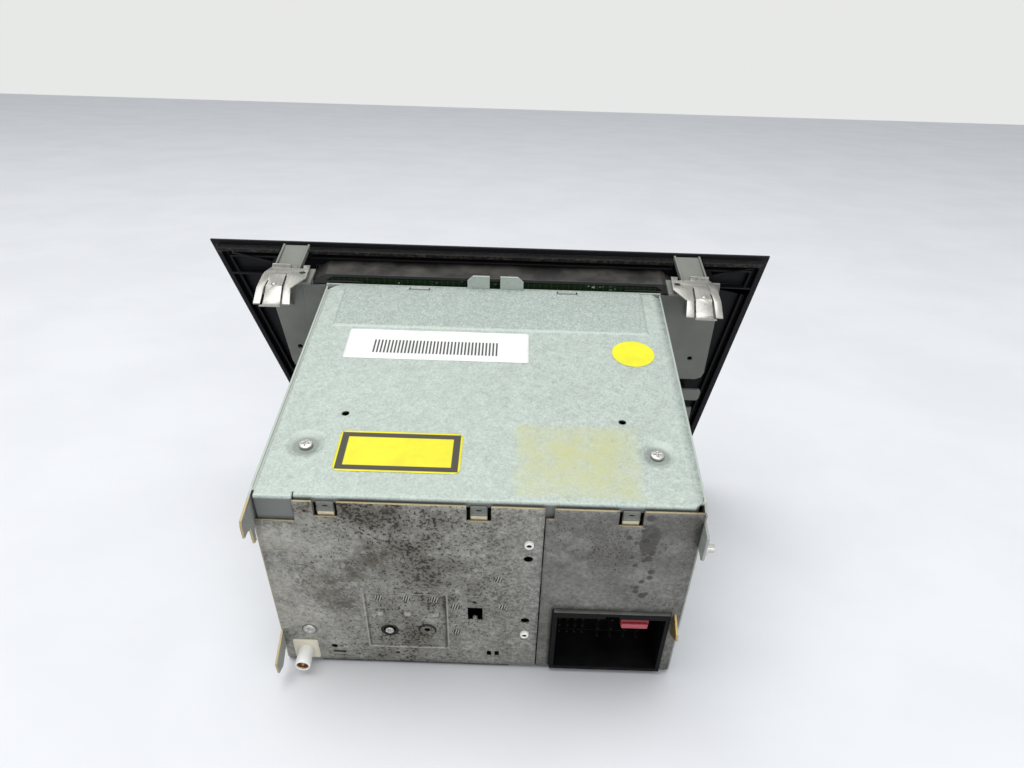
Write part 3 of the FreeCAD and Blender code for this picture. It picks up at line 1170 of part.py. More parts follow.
def trim_panel():
    """Gloss face panel that plugs into the fascia's opening."""
    plate = rounded(-TRIM_X, TRIM_X, TRIM_Z[0], TRIM_Z[1], 5.0, TRIM_FRONT, FASCIA_FRONT)
    edge = [e for e in plate.Edges if abs(e.CenterOfMass.y - TRIM_FRONT) < 0.01]
    plate = plate.makeFillet(0.9, edge)
    ring = box(-OPEN_X + PLAY, OPEN_X - PLAY, FASCIA_FRONT - 0.5, FASCIA_BACK, OPEN_Z[0] + PLAY,
               OPEN_Z[1] - PLAY)
    hollow = box(-OPEN_X + PLAY + WALL, OPEN_X - PLAY - WALL, FASCIA_FRONT, FASCIA_BACK + 1,
                 OPEN_Z[0] + PLAY + WALL, OPEN_Z[1] - PLAY - WALL)
    pieces = [plate, ring.cut(hollow)]
    for name, x in rockers():
        for way in (-1, 1):
            z = ROCKER_Z + way * (ROCKER_H / 2 + ROCKER_SIDE + 1.0)
            z0, z1 = sorted((z, z + way * 2.0))
            pieces.append(box(x - 2.5, x + 2.5, FASCIA_FRONT - 0.5, TRUNNION_Y + 2.5, z0, z1))
    body = fuse(*pieces)
    cuts = [slot_window(TRIM_FRONT - 1, FASCIA_FRONT + 1, 0.0),
            box(-WINDOW_W / 2, WINDOW_W / 2, TRIM_FRONT - 1, TRIM_FRONT + 1.6, WINDOW_Z[0], WINDOW_Z[1]),
            box(-WINDOW_W / 2 + 2, WINDOW_W / 2 - 2, TRIM_FRONT, FASCIA_FRONT + 1, WINDOW_Z[0] + 2,
                WINDOW_Z[1] - 2)]
    for x, z, w, h in BUTTONS.values():
        cuts.append(button_window(x, z, w, h))
    for name, x in rockers():
        cuts.append(button_window(x, ROCKER_Z, ROCKER_W + 0.8, ROCKER_H))
        cuts.append(rod("z", (x, TRUNNION_Y), TRUNNION_R + RUN, ROCKER_Z - 20, ROCKER_Z + 20).common(
            box(x - 5, x + 5, FASCIA_FRONT + 0.1, FASCIA_BACK + 3, ROCKER_Z - 9.5, ROCKER_Z + 9.5)))
    for way in (-1, 1):
        cuts.append(rod("y", (way * KNOB_X, KNOB_Z), SHAFT_R + 2.2, TRIM_FRONT - 1, FASCIA_FRONT + 1))
    return cut(body, *cuts)


def display_lens():
    """Clear window set in the trim's rebate."""
    half = WINDOW_W / 2 - PLAY / 2
    return box(-half, half, TRIM_FRONT + 0.1, TRIM_FRONT + 1.6, WINDOW_Z[0] + PLAY / 2,
               WINDOW_Z[1] - PLAY / 2)


def display_module():
    """Glass display in its holder on the front board."""
    half = WINDOW_W / 2 - 4
    y0 = FASCIA_BACK + 1.0
    holder = box(-half, half, y0 + 2, BOARD_FRONT, WINDOW_Z[0] + 3, WINDOW_Z[1] - 3)
    glass = box(-half + 2, half - 2, y0, y0 + 2, WINDOW_Z[0] + 5, WINDOW_Z[1] - 5)
    return fuse(holder, glass)


def inner_frame():
    """Black ring between the fascia and the box that boxes in the front board."""
    outer = box(-INNER_X, INNER_X, FASCIA_BACK, CARRIER_BACK, INNER_Z[0], INNER_Z[1])
    bore = box(-INNER_X + WALL, INNER_X - WALL, FASCIA_BACK - 1, CARRIER_BACK + 1, INNER_Z[0] + WALL,
               INNER_Z[1] - WALL)
    corner = 9.0
    tops = [prism([(way * INNER_X, INNER_Z[1] - 4.5), (way * (INNER_X - corner), INNER_Z[1] + 1),
                   (way * (INNER_X + 1), INNER_Z[1] + 1), (way * (INNER_X + 1), INNER_Z[1] - 4.5)],
                  "y", FASCIA_BACK - 1, CARRIER_BACK + 1) for way in (-1, 1)]
    ring = cut(outer, bore)
    braces = [prism([(way * INNER_X, INNER_Z[1] - 9.0), (way * INNER_X, INNER_Z[1] - 4.5),
                     (way * (INNER_X - corner), INNER_Z[1]), (way * (INNER_X - corner - 5), INNER_Z[1])],
                    "y", FASCIA_BACK, CARRIER_BACK) for way in (-1, 1)]
    pegs = [box(way * EAR_SCREW_X - PEG_HALF, way * EAR_SCREW_X + PEG_HALF, CARRIER_BACK - 6, PLATE_FRONT,
                z - PEG_HALF, z + PEG_HALF) for way in (-1, 1) for z in EAR_SCREW_Z]
    ledge = box(-INNER_X + 1, INNER_X - 1, BOARD_BACK, BOARD_BACK + 1.0, INNER_Z[0] + 1, INNER_Z[0] + 5)
    shelves = [box(min(way * 70.6, way * (INNER_X - 1)), max(way * 70.6, way * (INNER_X - 1)), BOARD_BACK + 0.2,
                   CARRIER_BACK, BOX_H - 1.5, BOX_H + 0.5) for way in (-1, 1)]
    body = fuse(ring, *braces, *pegs, ledge, *shelves)
    screws = [rod("y", (way * EAR_SCREW_X, z), PIN_R + 0.02, CARRIER_BACK - 4.5, FRONT)
              for way in (-1, 1) for z in EAR_SCREW_Z]
    return cut(body, *tops, *screws)


def front_board():
    edge = INNER_X - WALL - PLAY
    low = INNER_Z[0] + WALL + PLAY
    high = INNER_Z[1] - WALL - 1.2
    board = box(-edge, edge, BOARD_FRONT, BOARD_BACK, low, high)
    corners = [prism([(way * (INNER_X + 1), INNER_Z[1] - 10.5), (way * (INNER_X - 15.5), INNER_Z[1]),
                      (way * (INNER_X + 1), INNER_Z[1])], "y", BOARD_FRONT - 1, BOARD_BACK + 1) for way in (-1, 1)]
    hole = PEG_HALF + PLAY
    pegs = [box(way * EAR_SCREW_X - hole, way * EAR_SCREW_X + hole, BOARD_FRONT - 1, BOARD_BACK + 1,
                z - hole, z + hole) for way in (-1, 1) for z in EAR_SCREW_Z]
    return cut(board, slot_window(BOARD_FRONT - 1, BOARD_BACK + 1, 3.0), *corners, *pegs)


def wing_outline(side, out_top, out_low):
    """One side of the carrier as (x, z): a tapering plate, a notch and two tabs."""
    x = INNER_X
    return [(x, -9.0), (x, side), (x + out_top - 1.5, side), (x + out_top, BOX_H - 18),
            (x + out_low, 56.0), (x + out_low - 1.2, 52.5), (x + out_low - 4.5, 51.0),
            (x + 8.5, 51.0), (x + 8.5, 43.0), (x + out_low - 0.5, 43.0), (x + out_low + 0.5, 41.0),
            (x + out_low, 36.5), (x + out_low - 1.0, 35.0), (x + 8.5, 35.0), (x + 8.5, 29.0),
            (x + out_low - 3.0, 29.0), (x + out_low - 3.0, 20.0), (x + out_low - 5.0, 18.0),
            (x + 7.0, 14.0), (x + 4.5, -9.0)]


def leaning(x0, x1, lean, back_top, front_top):
    """A bar from the arm up to the fascia's top that drifts sideways by lean."""
    ends = []
    for y, shift, low, high in ((ARM_FRONT + 5, 0.0, CARRIER_TOP - 1.0, back_top),
                                (ROOT_FRONT, lean, ROOT_TOP - 3.0, front_top)):
        corners = [V(x0 + shift, y, low), V(x1 + shift, y, low), V(x1 + shift, y, high), V(x0 + shift, y, high)]
        ends.append(Part.makePolygon(corners + corners[:1]))
    return Part.makeLoft(ends, True, True)


def carrier_arm(centre, toward_box):
    """A channel-shaped arm over the carrier's corner that holds a spring clip."""
    x0, x1 = centre - ARM_W / 2, centre + ARM_W / 2
    floor = box(x0, x1, ARM_FRONT, ARM_BACK, CARRIER_TOP - 1.0, CARRIER_TOP + 0.6)
    rails = [box(x - 0.6, x + 0.6, ARM_FRONT, ARM_BACK, CARRIER_TOP - 1.0, ARM_TOP)
             for x in (x0 + 0.6, x1 - 0.6)]
    web = prism([(CARRIER_BACK - 0.5, CARRIER_TOP - 22), (CARRIER_BACK + 24, CARRIER_TOP - 1),
                 (CARRIER_BACK - 0.5, CARRIER_TOP - 1)], "x", centre - 1, centre + 1)
    seat = box(x0 + 1, x1 - 1, CARRIER_BACK - 2, ARM_BACK - 2, CARRIER_TOP, ARM_TOP - 0.1)
    lug = box(min(x0, x0 + toward_box * 8), max(x1, x1 + toward_box * 8), CARRIER_BACK - 2,
              CARRIER_BACK + 12, CARRIER_TOP - 1, CARRIER_TOP + 0.6)
    lean = toward_box * ARM_LEAN
    slope = [leaning(x0, x1, lean, CARRIER_TOP + 0.6, ROOT_TOP - 0.8)] + [
        leaning(x - 0.6, x + 0.6, lean, ARM_TOP, ROOT_TOP) for x in (x0 + 0.6, x1 - 0.6)]
    return fuse(floor, *rails, web, seat, lug, *slope)


def carrier():
    """Grey plastic plate round the inner frame, with two arms."""
    front = CARRIER_BACK - 1.5
    right = prism(wing_outline(CARRIER_TOP, 23.0, 19.0), "y", front, CARRIER_BACK)
    left = mirrored(prism(wing_outline(CARRIER_TOP, 25.0, 25.0), "y", front, CARRIER_BACK))
    foot = box(-INNER_X - 2, INNER_X + 2, front, CARRIER_BACK, -9.0, INNER_Z[0])
    lining = box(SIDE + 0.6, INNER_X + 6.0, CARRIER_BACK, CARRIER_BACK + 1.0, INNER_Z[0] + 2.0, BOX_H - 1.6)
    arms = [carrier_arm(ARM_X_RIGHT, -1), carrier_arm(ARM_X_LEFT, 1)]
    body = fuse(right, left, foot, lining, mirrored(lining), *arms)
    holes = [rod("y", p, 1.4, front - 1, CARRIER_BACK + 2) for p in POSTS]
    room = PEG_HALF + PLAY
    pegs = [box(way * EAR_SCREW_X - room, way * EAR_SCREW_X + room, CARRIER_BACK - 1, CARRIER_BACK + 2,
                z - room, z + room) for way in (-1, 1) for z in EAR_SCREW_Z]
    return cut(body, *holes, *pegs)


def clip_polygon(points, z0, z1, centre, way):
    """A flat piece of the clip; its points are (out from the centre, back from the fold)."""
    base_y = CARRIER_BACK
    return prism([(centre + way * p, base_y + q) for p, q in points], "z", z0, z1)


def clip_strip(profile, centre):
    """A thin sheet along Y that follows (back, height) points, wide enough for the whole clip."""
    pieces = []
    for (q0, h0), (q1, h1) in zip(profile, profile[1:]):
        outline = [(CARRIER_BACK + q0, ARM_TOP + h0), (CARRIER_BACK + q1, ARM_TOP + h1),
                   (CARRIER_BACK + q1, ARM_TOP + h1 + CLIP_T), (CARRIER_BACK + q0, ARM_TOP + h0 + CLIP_T)]
        pieces.append(prism(outline, "x", centre - 16, centre + 16))
    return fuse(*pieces)


def spring_clip(centre, way):
    """Bright steel clip: a hooked front, a sprung tongue between two legs, and a screw ear."""
    z0, z1 = ARM_TOP, ARM_TOP + CLIP_T
    low, high = ARM_TOP - 8, ARM_TOP + 8
    sheet = clip_strip([(-2.0, 0.0), (3.0, 0.0), (12.0, CLIP_RISE), (22.0, 0.1), (30.6, -3.8)], centre)
    sides = fuse(*[clip_polygon(points, low, high, centre, way) for points in (
        [(-6.0, 1.5), (-6.6, 16.0), (9.9, 16.0), (9.9, 7.0), (8.0, 1.5)],
        [(5.9, 12.0), (9.9, 12.0), (10.2, 30.6), (6.6, 30.6)],
        [(-6.2, 12.0), (-2.6, 12.0), (-4.6, 30.6), (-8.6, 30.6)],
        [(-5.5, 1.6), (-9.6, 1.6), (-9.0, -1.8), (-12.6, -2.0), (-13.4, 12.0), (-7.6, 21.0), (-5.5, 21.0)])])
    crown = clip_strip([(8.0, 0.5), (9.5, 1.2), (21.0, 0.9), (24.0, -1.2), (29.6, -4.2), (31.4, -4.2),
                        (32.6, -3.8)], centre)
    middle = clip_polygon([(6.3, 8.0), (-2.6, 8.0), (-3.0, 22.0), (-3.2, 27.5), (-3.6, 30.9), (-4.2, 31.2),
                           (-4.2, 32.6), (6.7, 32.6), (6.7, 31.2), (5.8, 30.9), (5.4, 27.5), (5.4, 22.0)],
                          low, high, centre, way)
    front = clip_polygon([(-2.6, -1.6), (7.4, -1.6), (7.6, 5.0), (-2.8, 5.0)], z0, z1, centre, way)
    curl = clip_polygon([(-2.6, -1.6), (7.4, -1.6), (7.4, -0.6), (-2.6, -0.6)], z0, z1 + 0.9,
                        centre, way)
    dimple = Part.makeSphere(1.8, V(centre + way * 1.4, CARRIER_BACK + 19.5, ARM_TOP + CLIP_RISE))
    upper = box(centre - 20, centre + 20, CARRIER_BACK, CARRIER_BACK + 40, ARM_TOP + CLIP_RISE + 0.4,
                ARM_TOP + 10)
    clip = fuse(sheet.common(sides), crown.common(middle), front, curl, dimple.common(upper))
    hole = rod("z", (centre - way * 10.2, CARRIER_BACK + 6.0), 1.6, low, high)
    slits = [clip_polygon([(-2.5, 10.5), (-3.1, 10.5), (-4.5, 31.0), (-3.4, 31.0)], low, high, centre, way),
             clip_polygon([(5.1, 15.5), (5.9, 15.5), (6.6, 31.0), (5.6, 31.0)], low, high, centre, way)]
    return cut(clip, hole, *slits)


def slot_seal():
    """Felt ring behind the disc slot."""
    outer = slot_window(FASCIA_FRONT, FASCIA_FRONT + 1.5, 3.5)
    inner = box(-SLOT_W / 2 + 1, SLOT_W / 2 - 1, FASCIA_FRONT - 1, FASCIA_FRONT + 3,
                SLOT_Z - SLOT_H / 2 + 0.3, SLOT_Z + SLOT_H / 2 - 0.3)
    return outer.cut(inner)


def switch_places():
    places = [(x, z) for x, z, w, h in BUTTONS.values()]
    for name, x in rockers():
        places += [(x - 11, ROCKER_Z), (x + 11, ROCKER_Z)]
    return places


def tact_switches():
    """Tact switches on the front board, one behind each button end."""
    switches = []
    for x, z in switch_places():
        base = box(x - 3, x + 3, SWITCH_TOP + 1.0, BOARD_FRONT, z - 3, z + 3)
        switches.append(fuse(base, rod("y", (x, z), 1.6, SWITCH_TOP, SWITCH_TOP + 1.5)))
    return Part.makeCompound(switches)


def encoders():
    """Rotary encoders behind the two knobs."""
    units = []
    for way in (-1, 1):
        at = (way * KNOB_X, KNOB_Z)
        base = box(at[0] - 6, at[0] + 6, ENCODER_TOP, BOARD_FRONT, at[1] - 6, at[1] + 6)
        neck = rod("y", at, SHAFT_R + 1.4, FASCIA_FRONT + 1.0, ENCODER_TOP + 0.5)
        unit = fuse(base, neck)
        units.append(cut(unit, rod("y", at, SHAFT_R + RUN, FASCIA_FRONT - 1, ENCODER_TOP + 4)))
    return Part.makeCompound(units)


def knob_shaft(way):
    return rod("y", (way * KNOB_X, KNOB_Z), SHAFT_R, KNOB_FRONT + 2.5, ENCODER_TOP + 3)


def knob(way, fit):
    """Round knob with a waisted grip; the fit is added to its bore's radius."""
    at = (way * KNOB_X, KNOB_Z)
    skirt = rod("y", at, KNOB_R, KNOB_BACK - 3, KNOB_BACK)
    grip = rod("y", at, KNOB_R - 2.5, KNOB_FRONT, KNOB_BACK)
    body = fuse(skirt, grip)
    face = [e for e in body.Edges if e.Closed and abs(e.CenterOfMass.y - KNOB_FRONT) < 0.01]
    body = body.makeFillet(1.0, face)
    flutes = []
    count = 24
    for n in range(count):
        angle = 2 * math.pi * n / count
        centre = (at[0] + (KNOB_R - 2.1) * math.cos(angle), at[1] + (KNOB_R - 2.1) * math.sin(angle))
        flutes.append(rod("y", centre, 0.9, KNOB_FRONT + 2, KNOB_BACK - 3.6))
    hollow = rod("y", at, KNOB_R - 4.5, KNOB_FRONT + 3, KNOB_BACK + 1)
    hub = rod("y", at, SHAFT_R + 2.5, KNOB_FRONT + 2, KNOB_BACK - 0.5)
    body = fuse(cut(body, hollow, *flutes), hub)
    return cut(body, rod("y", at, SHAFT_R + fit, KNOB_FRONT + 2.4, KNOB_BACK + 1))


def push_button(x, z, w, h):
    """Cap, retaining flange and stem down to its switch."""
    cap = rounded(x - w / 2, x + w / 2, z - h / 2, z + h / 2, 1.0, TRIM_FRONT - BUTTON_PROUD,
                  FASCIA_FRONT + 0.3)
    cap = cap.makeFillet(0.5, [e for e in cap.Edges
                               if abs(e.CenterOfMass.y - TRIM_FRONT + BUTTON_PROUD) < 0.01])
    flange = box(x - w / 2 - 1, x + w / 2 + 1, FASCIA_FRONT + 0.1, FASCIA_FRONT + 1.2, z - h / 2 - 1,
                 z + h / 2 + 1)
    stem = rod("y", (x, z), 2.0, FASCIA_FRONT + 1, SWITCH_TOP - BUTTON_TRAVEL - 0.1)
    return fuse(cap, flange, stem)


def preset_rocker(x):
    """Seesaw button on an upright pin; each end presses its own switch."""
    z = ROCKER_Z
    cap = rounded(x - ROCKER_W / 2, x + ROCKER_W / 2, z - ROCKER_H / 2, z + ROCKER_H / 2, 1.0,
                  TRIM_FRONT - BUTTON_PROUD, FASCIA_FRONT - 0.6)
    cap = cap.makeFillet(0.5, [e for e in cap.Edges
                               if abs(e.CenterOfMass.y - TRIM_FRONT + BUTTON_PROUD) < 0.01])
    web = box(x - 2.5, x + 2.5, FASCIA_FRONT - 1, TRUNNION_Y + 1.0, z - ROCKER_H / 2, z + ROCKER_H / 2)
    reach = ROCKER_H / 2 + ROCKER_SIDE + 2.6
    pin = rod("z", (x, TRUNNION_Y), TRUNNION_R, z - reach, z + reach)
    stems = [rod("y", (x + way * 11, z), 1.8, FASCIA_FRONT - 1, SWITCH_TOP - BUTTON_TRAVEL - 0.1)
             for way in (-1, 1)]
    return fuse(cap, web, pin, *stems)


def build():
    NODES["top_cover"] = top_cover()
    NODES["bottom_cover"] = bottom_cover()
    NODES["right_side_wall"] = side_wall(1)
    NODES["left_side_wall"] = left_side_wall()
    NODES["rear_panel"] = rear_panel()
    NODES["amplifier_panel"] = amplifier_panel()
    NODES["front_plate"] = front_plate()
    NODES["case_screws"] = case_screws()
    NODES["rear_pins"] = rear_pins()
    NODES["guide_stud"] = guide_stud()
    NODES["aerial_socket"] = aerial_socket()
    NODES["power_header"] = power_header()
    NODES["header_contacts"] = header_contacts()
    NODES["main_board"] = main_board()
    NODES["amplifier_chip"] = amplifier_chip()
    NODES["capacitors"] = capacitors()
    NODES["tuner_can"] = tuner_can()
    for maker in (mech_frame, damper_bushes, player_deck, spindle_motor, turntable, clamp_arm,
                  clamp_puck, mode_slider, roller_bracket, loading_roller, roller_shaft, idler_gear,
                  loading_motor, motor_pinion, laser_sled, lens_holder, objective_lens, guide_rods,
                  sled_gear, sled_motor, sled_pinion):
        NODES[maker.__name__] = placed(maker())
    NODES["fascia"] = fascia()
    NODES["trim_panel"] = trim_panel()
    NODES["display_lens"] = display_lens()
    NODES["display_module"] = display_module()
    NODES["inner_frame"] = inner_frame()
    NODES["front_board"] = front_board()
    NODES["carrier"] = carrier()
    NODES["spring_clip_right"] = spring_clip(ARM_X_RIGHT, 1)
    NODES["spring_clip_left"] = spring_clip(ARM_X_LEFT, -1)
    NODES["slot_seal"] = slot_seal()
    NODES["tact_switches"] = tact_switches()
    NODES["encoders"] = encoders()
    NODES["volume_shaft"] = knob_shaft(-1)
    NODES["volume_knob"] = knob(-1, RUN)
    NODES["tune_shaft"] = knob_shaft(1)
    NODES["tune_knob"] = knob(1, 0.01)
    for name, (x, z, w, h) in BUTTONS.items():
        NODES[name] = push_button(x, z, w, h)
    for name, x in rockers():
        NODES[name] = preset_rocker(x)


def export():
    os.makedirs("parts", exist_ok=True)
    for name, shape in NODES.items():
        solids = shape.Solids
        if not shape.isValid() or not solids:
            print("not valid:", name)
        shape.exportStep("parts/" + name + ".step")
        size = shape.BoundBox
        print("%-20s solids %2d volume %9.1f box %6.1f %6.1f %6.1f" % (
            name, len(solids), shape.Volume, size.XLength, size.YLength, size.ZLength))
    print(len(NODES), "nodes")


build()
export()
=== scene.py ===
# %% [markdown]
# A slot-loading car CD receiver, seen from behind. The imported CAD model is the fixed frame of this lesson:
# it says where everything is and what moves. Blender adds what a casual model lacks: rolled and pressed
# sheet metal, spangled zinc, stickers, moulded plastic with small rounds on every edge, and the light of a
# plain studio. The frame comes first.

# %% Load the frame
import json
import math
import bmesh
import bpy
import numpy as np
from mathutils import Matrix, Vector


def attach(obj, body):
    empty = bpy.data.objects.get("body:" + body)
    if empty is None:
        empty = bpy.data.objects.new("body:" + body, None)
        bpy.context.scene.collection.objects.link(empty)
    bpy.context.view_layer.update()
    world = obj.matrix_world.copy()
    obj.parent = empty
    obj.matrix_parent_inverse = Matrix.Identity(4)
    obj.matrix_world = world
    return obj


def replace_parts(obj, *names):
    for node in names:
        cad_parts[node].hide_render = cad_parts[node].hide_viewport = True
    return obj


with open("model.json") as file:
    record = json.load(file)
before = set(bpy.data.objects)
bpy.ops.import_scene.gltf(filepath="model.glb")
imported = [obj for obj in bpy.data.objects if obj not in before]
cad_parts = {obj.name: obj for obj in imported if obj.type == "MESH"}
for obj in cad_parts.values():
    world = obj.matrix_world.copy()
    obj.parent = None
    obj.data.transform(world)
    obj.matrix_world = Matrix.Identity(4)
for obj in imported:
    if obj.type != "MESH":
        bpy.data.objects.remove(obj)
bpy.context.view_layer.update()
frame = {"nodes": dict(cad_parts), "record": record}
MM = 0.001

# %% [markdown]
# The camera stands behind and above the unit and looks down at it. Its place, turn and focal length were
# solved from the straight edges of the steel box, so the script only has to write them down as a matrix.

# %% Camera
YAW, PITCH, ROLL = 0.23, 38.66, 1.68        # degrees
CAMERA_PLACE = (-12.91, 292.42, 341.46)     # millimetres
SENSOR = 36.0                               # millimetres
FOCAL_PIXELS = 805.3
IMAGE_WIDTH = 1024


def look_matrix(yaw, pitch, roll):
    """Columns right, up and back: forward is turned by yaw and dipped by pitch, then the frame is rolled."""
    forward = np.array([math.sin(yaw) * math.cos(pitch), -math.cos(yaw) * math.cos(pitch),
                        -math.sin(pitch)])
    right = np.cross(forward, [0.0, 0.0, 1.0])
    right /= np.linalg.norm(right)
    up = np.cross(right, forward)
    turned_right = math.cos(roll) * right + math.sin(roll) * up
    turned_up = -math.sin(roll) * right + math.cos(roll) * up
    return np.column_stack([turned_right, turned_up, -forward])


camera = bpy.data.objects.new("camera", bpy.data.cameras.new("camera"))
bpy.context.scene.collection.objects.link(camera)
turn = Matrix(look_matrix(*np.radians([YAW, PITCH, ROLL])).tolist())
camera.matrix_world = Matrix.Translation(Vector(CAMERA_PLACE) * MM) @ turn.to_4x4()
camera.data.sensor_width = SENSOR
camera.data.lens = FOCAL_PIXELS * SENSOR / IMAGE_WIDTH
camera.data.clip_start = 0.01
bpy.context.scene.camera = camera
print("camera lens %.2f mm" % camera.data.lens)

# %% [markdown]
# Every new piece is an array of points and an array of faces. One small function writes both into a mesh,
# merges seams and poles, makes the faces point outwards, and hangs the piece on its body, so no later cell
# repeats that work.

# %% Mesh helpers
def grid_faces(rows, cols, wrap=False):
    """Quads between neighbouring points of a rows by cols grid; wrap joins the last column to the first."""
    r = np.arange(rows - 1)[:, None]
    c = np.arange(cols if wrap else cols - 1)[None, :]
    a = r * cols + c
    b = r * cols + (c + 1) % cols
    return np.stack([a, b, b + cols, a + cols], axis=-1).reshape(-1, 4)


WELD = 2e-6             # metres: points closer than this are one point
SLIVER = 1e-7           # metres: edges shorter than this are dissolved
SHARP = 32              # degrees: edges sharper than this are rounded


def welded(source):
    """A bmesh of a mesh, with its doubles merged and its slivers dissolved."""
    work = bmesh.new()
    work.from_mesh(source)
    bmesh.ops.remove_doubles(work, verts=work.verts, dist=WELD)
    bmesh.ops.dissolve_degenerate(work, edges=work.edges, dist=SLIVER)
    return work


def hang(name, work, mesh, curved, material, body):
    """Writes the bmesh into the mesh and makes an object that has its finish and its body."""
    work.to_mesh(mesh)
    work.free()
    mesh.polygons.foreach_set("use_smooth", np.full(len(mesh.polygons), curved))
    mesh.materials.append(material)
    piece = bpy.data.objects.new(name, mesh)
    bpy.context.scene.collection.objects.link(piece)
    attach(piece, body)
    return piece


def piece_from(name, points, faces, body, material, turn_out=True):
    """A mesh object from point and face arrays in millimetres, welded, smooth and riding on its body."""
    mesh = bpy.data.meshes.new(name)
    faces = faces.tolist() if isinstance(faces, np.ndarray) else faces
    mesh.from_pydata((np.asarray(points, float) * MM).tolist(), [], faces)
    work = welded(mesh)
    if turn_out:
        bmesh.ops.recalc_face_normals(work, faces=work.faces)
    return hang(name, work, mesh, True, material, body)


def round_edges(piece, width):
    """A live bevel of two steps on every sharp edge, with flat faces kept flat."""
    bevel = piece.modifiers.new("round", "BEVEL")
    bevel.width = width * MM
    bevel.segments = 2
    bevel.limit_method = "ANGLE"
    bevel.angle_limit = math.radians(SHARP)
    bevel.use_clamp_overlap = False
    bevel.harden_normals = True
    return piece


def thicken(piece, thickness):
    """A live wall behind the surface, on the side away from its normals."""
    wall = piece.modifiers.new("sheet", "SOLIDIFY")
    wall.thickness = thickness * MM
    wall.offset = -1.0
    return piece


BODY_OF = {node: body for body, nodes in frame["record"]["behaviour"]["bodies"].items() for node in nodes}
print("mesh helpers ready;", len(BODY_OF), "nodes have a body")

# %% [markdown]
# Machined and moulded parts never have knife edges: a small round catches a line of light and shows the
# form. The CAD shape is right, so a copy of its mesh is welded, its flat faces are joined, and a small
# bevel is put on its edges. Flat parts are shaded flat, because smooth shading across a large face with
# holes in it shows false wedges of light.

# %% Softened copies of CAD nodes
FLAT = 0.5              # degrees: triangles that meet at less than this are one face


def softened(node, width, material, curved=False):
    """A copy of a CAD node's mesh that stands for it: triangles merged into flat faces, edges rounded."""
    name = node + "_finished"
    work = welded(frame["nodes"][node].data)
    bmesh.ops.dissolve_limit(work, angle_limit=math.radians(FLAT), verts=work.verts, edges=work.edges)
    piece = hang(name, work, bpy.data.meshes.new(name), curved, material, BODY_OF[node])
    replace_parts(piece, node)
    return round_edges(piece, width)


# %% [markdown]
# Materials are small node trees. A node costs one line here: add() makes it, sets its sockets and links
# what is linked. Effects that several finishes share become node groups, built once, with named inputs and
# outputs.

# %% Node helpers
def add(tree, kind, sockets=None, **settings):
    """One shader node; sockets maps an input's name or number to a value or to another node's output.

    The settings come first, because a group node has no sockets before it has its tree."""
    made = tree.nodes.new(kind)
    for key, value in settings.items():
        setattr(made, key, value)
    for key, value in (sockets or {}).items():
        if isinstance(value, bpy.types.NodeSocket):
            tree.links.new(value, made.inputs[key])
        else:
            made.inputs[key].default_value = value
    return made


def blend_colours(tree, share, first, second):
    """The Mix node's colour output between two colours."""
    return add(tree, "ShaderNodeMix", {0: share, 6: first, 7: second}, data_type="RGBA").outputs[2]


def maths(tree, operation, first, second=0.0, clamp=False):
    """One Math node's output."""
    return add(tree, "ShaderNodeMath", {0: first, 1: second}, operation=operation,
               use_clamp=clamp).outputs[0]


def plus(tree, first, second):
    """first + second."""
    return maths(tree, "ADD", first, second)


def minus(tree, first, second, clamp=False):
    """first - second, kept above 0 when clamp is on."""
    return maths(tree, "SUBTRACT", first, second, clamp)


def times(tree, first, *others):
    """The product of all that is given."""
    for other in others:
        first = maths(tree, "MULTIPLY", first, other)
    return first


def size_of(tree, value):
    """A value without its sign."""
    return maths(tree, "ABSOLUTE", value)


def larger(tree, first, second):
    """The larger of two values."""
    return maths(tree, "MAXIMUM", first, second)


def axes(tree, vector):
    """X, Y and Z of a vector."""
    return add(tree, "ShaderNodeSeparateXYZ", {0: vector}).outputs


def ramp(tree, value, low, high, to_low=0.0, to_high=1.0):
    """A smooth step of a value between two limits."""
    return add(tree, "ShaderNodeMapRange", {"Value": value, "From Min": low, "From Max": high,
                                            "To Min": to_low, "To Max": to_high},
               interpolation_type="SMOOTHSTEP").outputs[0]


def noise(tree, vector, scale, detail=3.0, rough=0.55):
    """A Noise Texture's value."""
    return add(tree, "ShaderNodeTexNoise", {"Vector": vector, "Scale": scale, "Detail": detail,
                                            "Roughness": rough}).outputs["Fac"]


def new_group(name, inputs, outputs):
    """A shader node group with its sockets; inputs map names to (kind, default)."""
    tree = bpy.data.node_groups.new(name, "ShaderNodeTree")
    for label, (kind, default) in inputs.items():
        socket = tree.interface.new_socket(label, in_out="INPUT", socket_type="NodeSocket" + kind)
        if default is not None:
            socket.default_value = default
    for label, kind in outputs.items():
        tree.interface.new_socket(label, in_out="OUTPUT", socket_type="NodeSocket" + kind)
    return tree, tree.nodes.new("NodeGroupInput").outputs, tree.nodes.new("NodeGroupOutput").inputs


def use(tree, group, **sockets):
    """A group node's outputs, with its inputs set; an underscore stands for a space."""
    return add(tree, "ShaderNodeGroup", {k.replace("_", " "): v for k, v in sockets.items()},
               node_tree=group).outputs


print("node helpers ready")

# %% [markdown]
# Hot-dip zinc freezes into crystals, which show as small flat patches of slightly different grey, the
# spangle. Cells of a Voronoi texture, bent by a noise, give the patches; fine noise over them gives the
# grain of the rolled sheet.

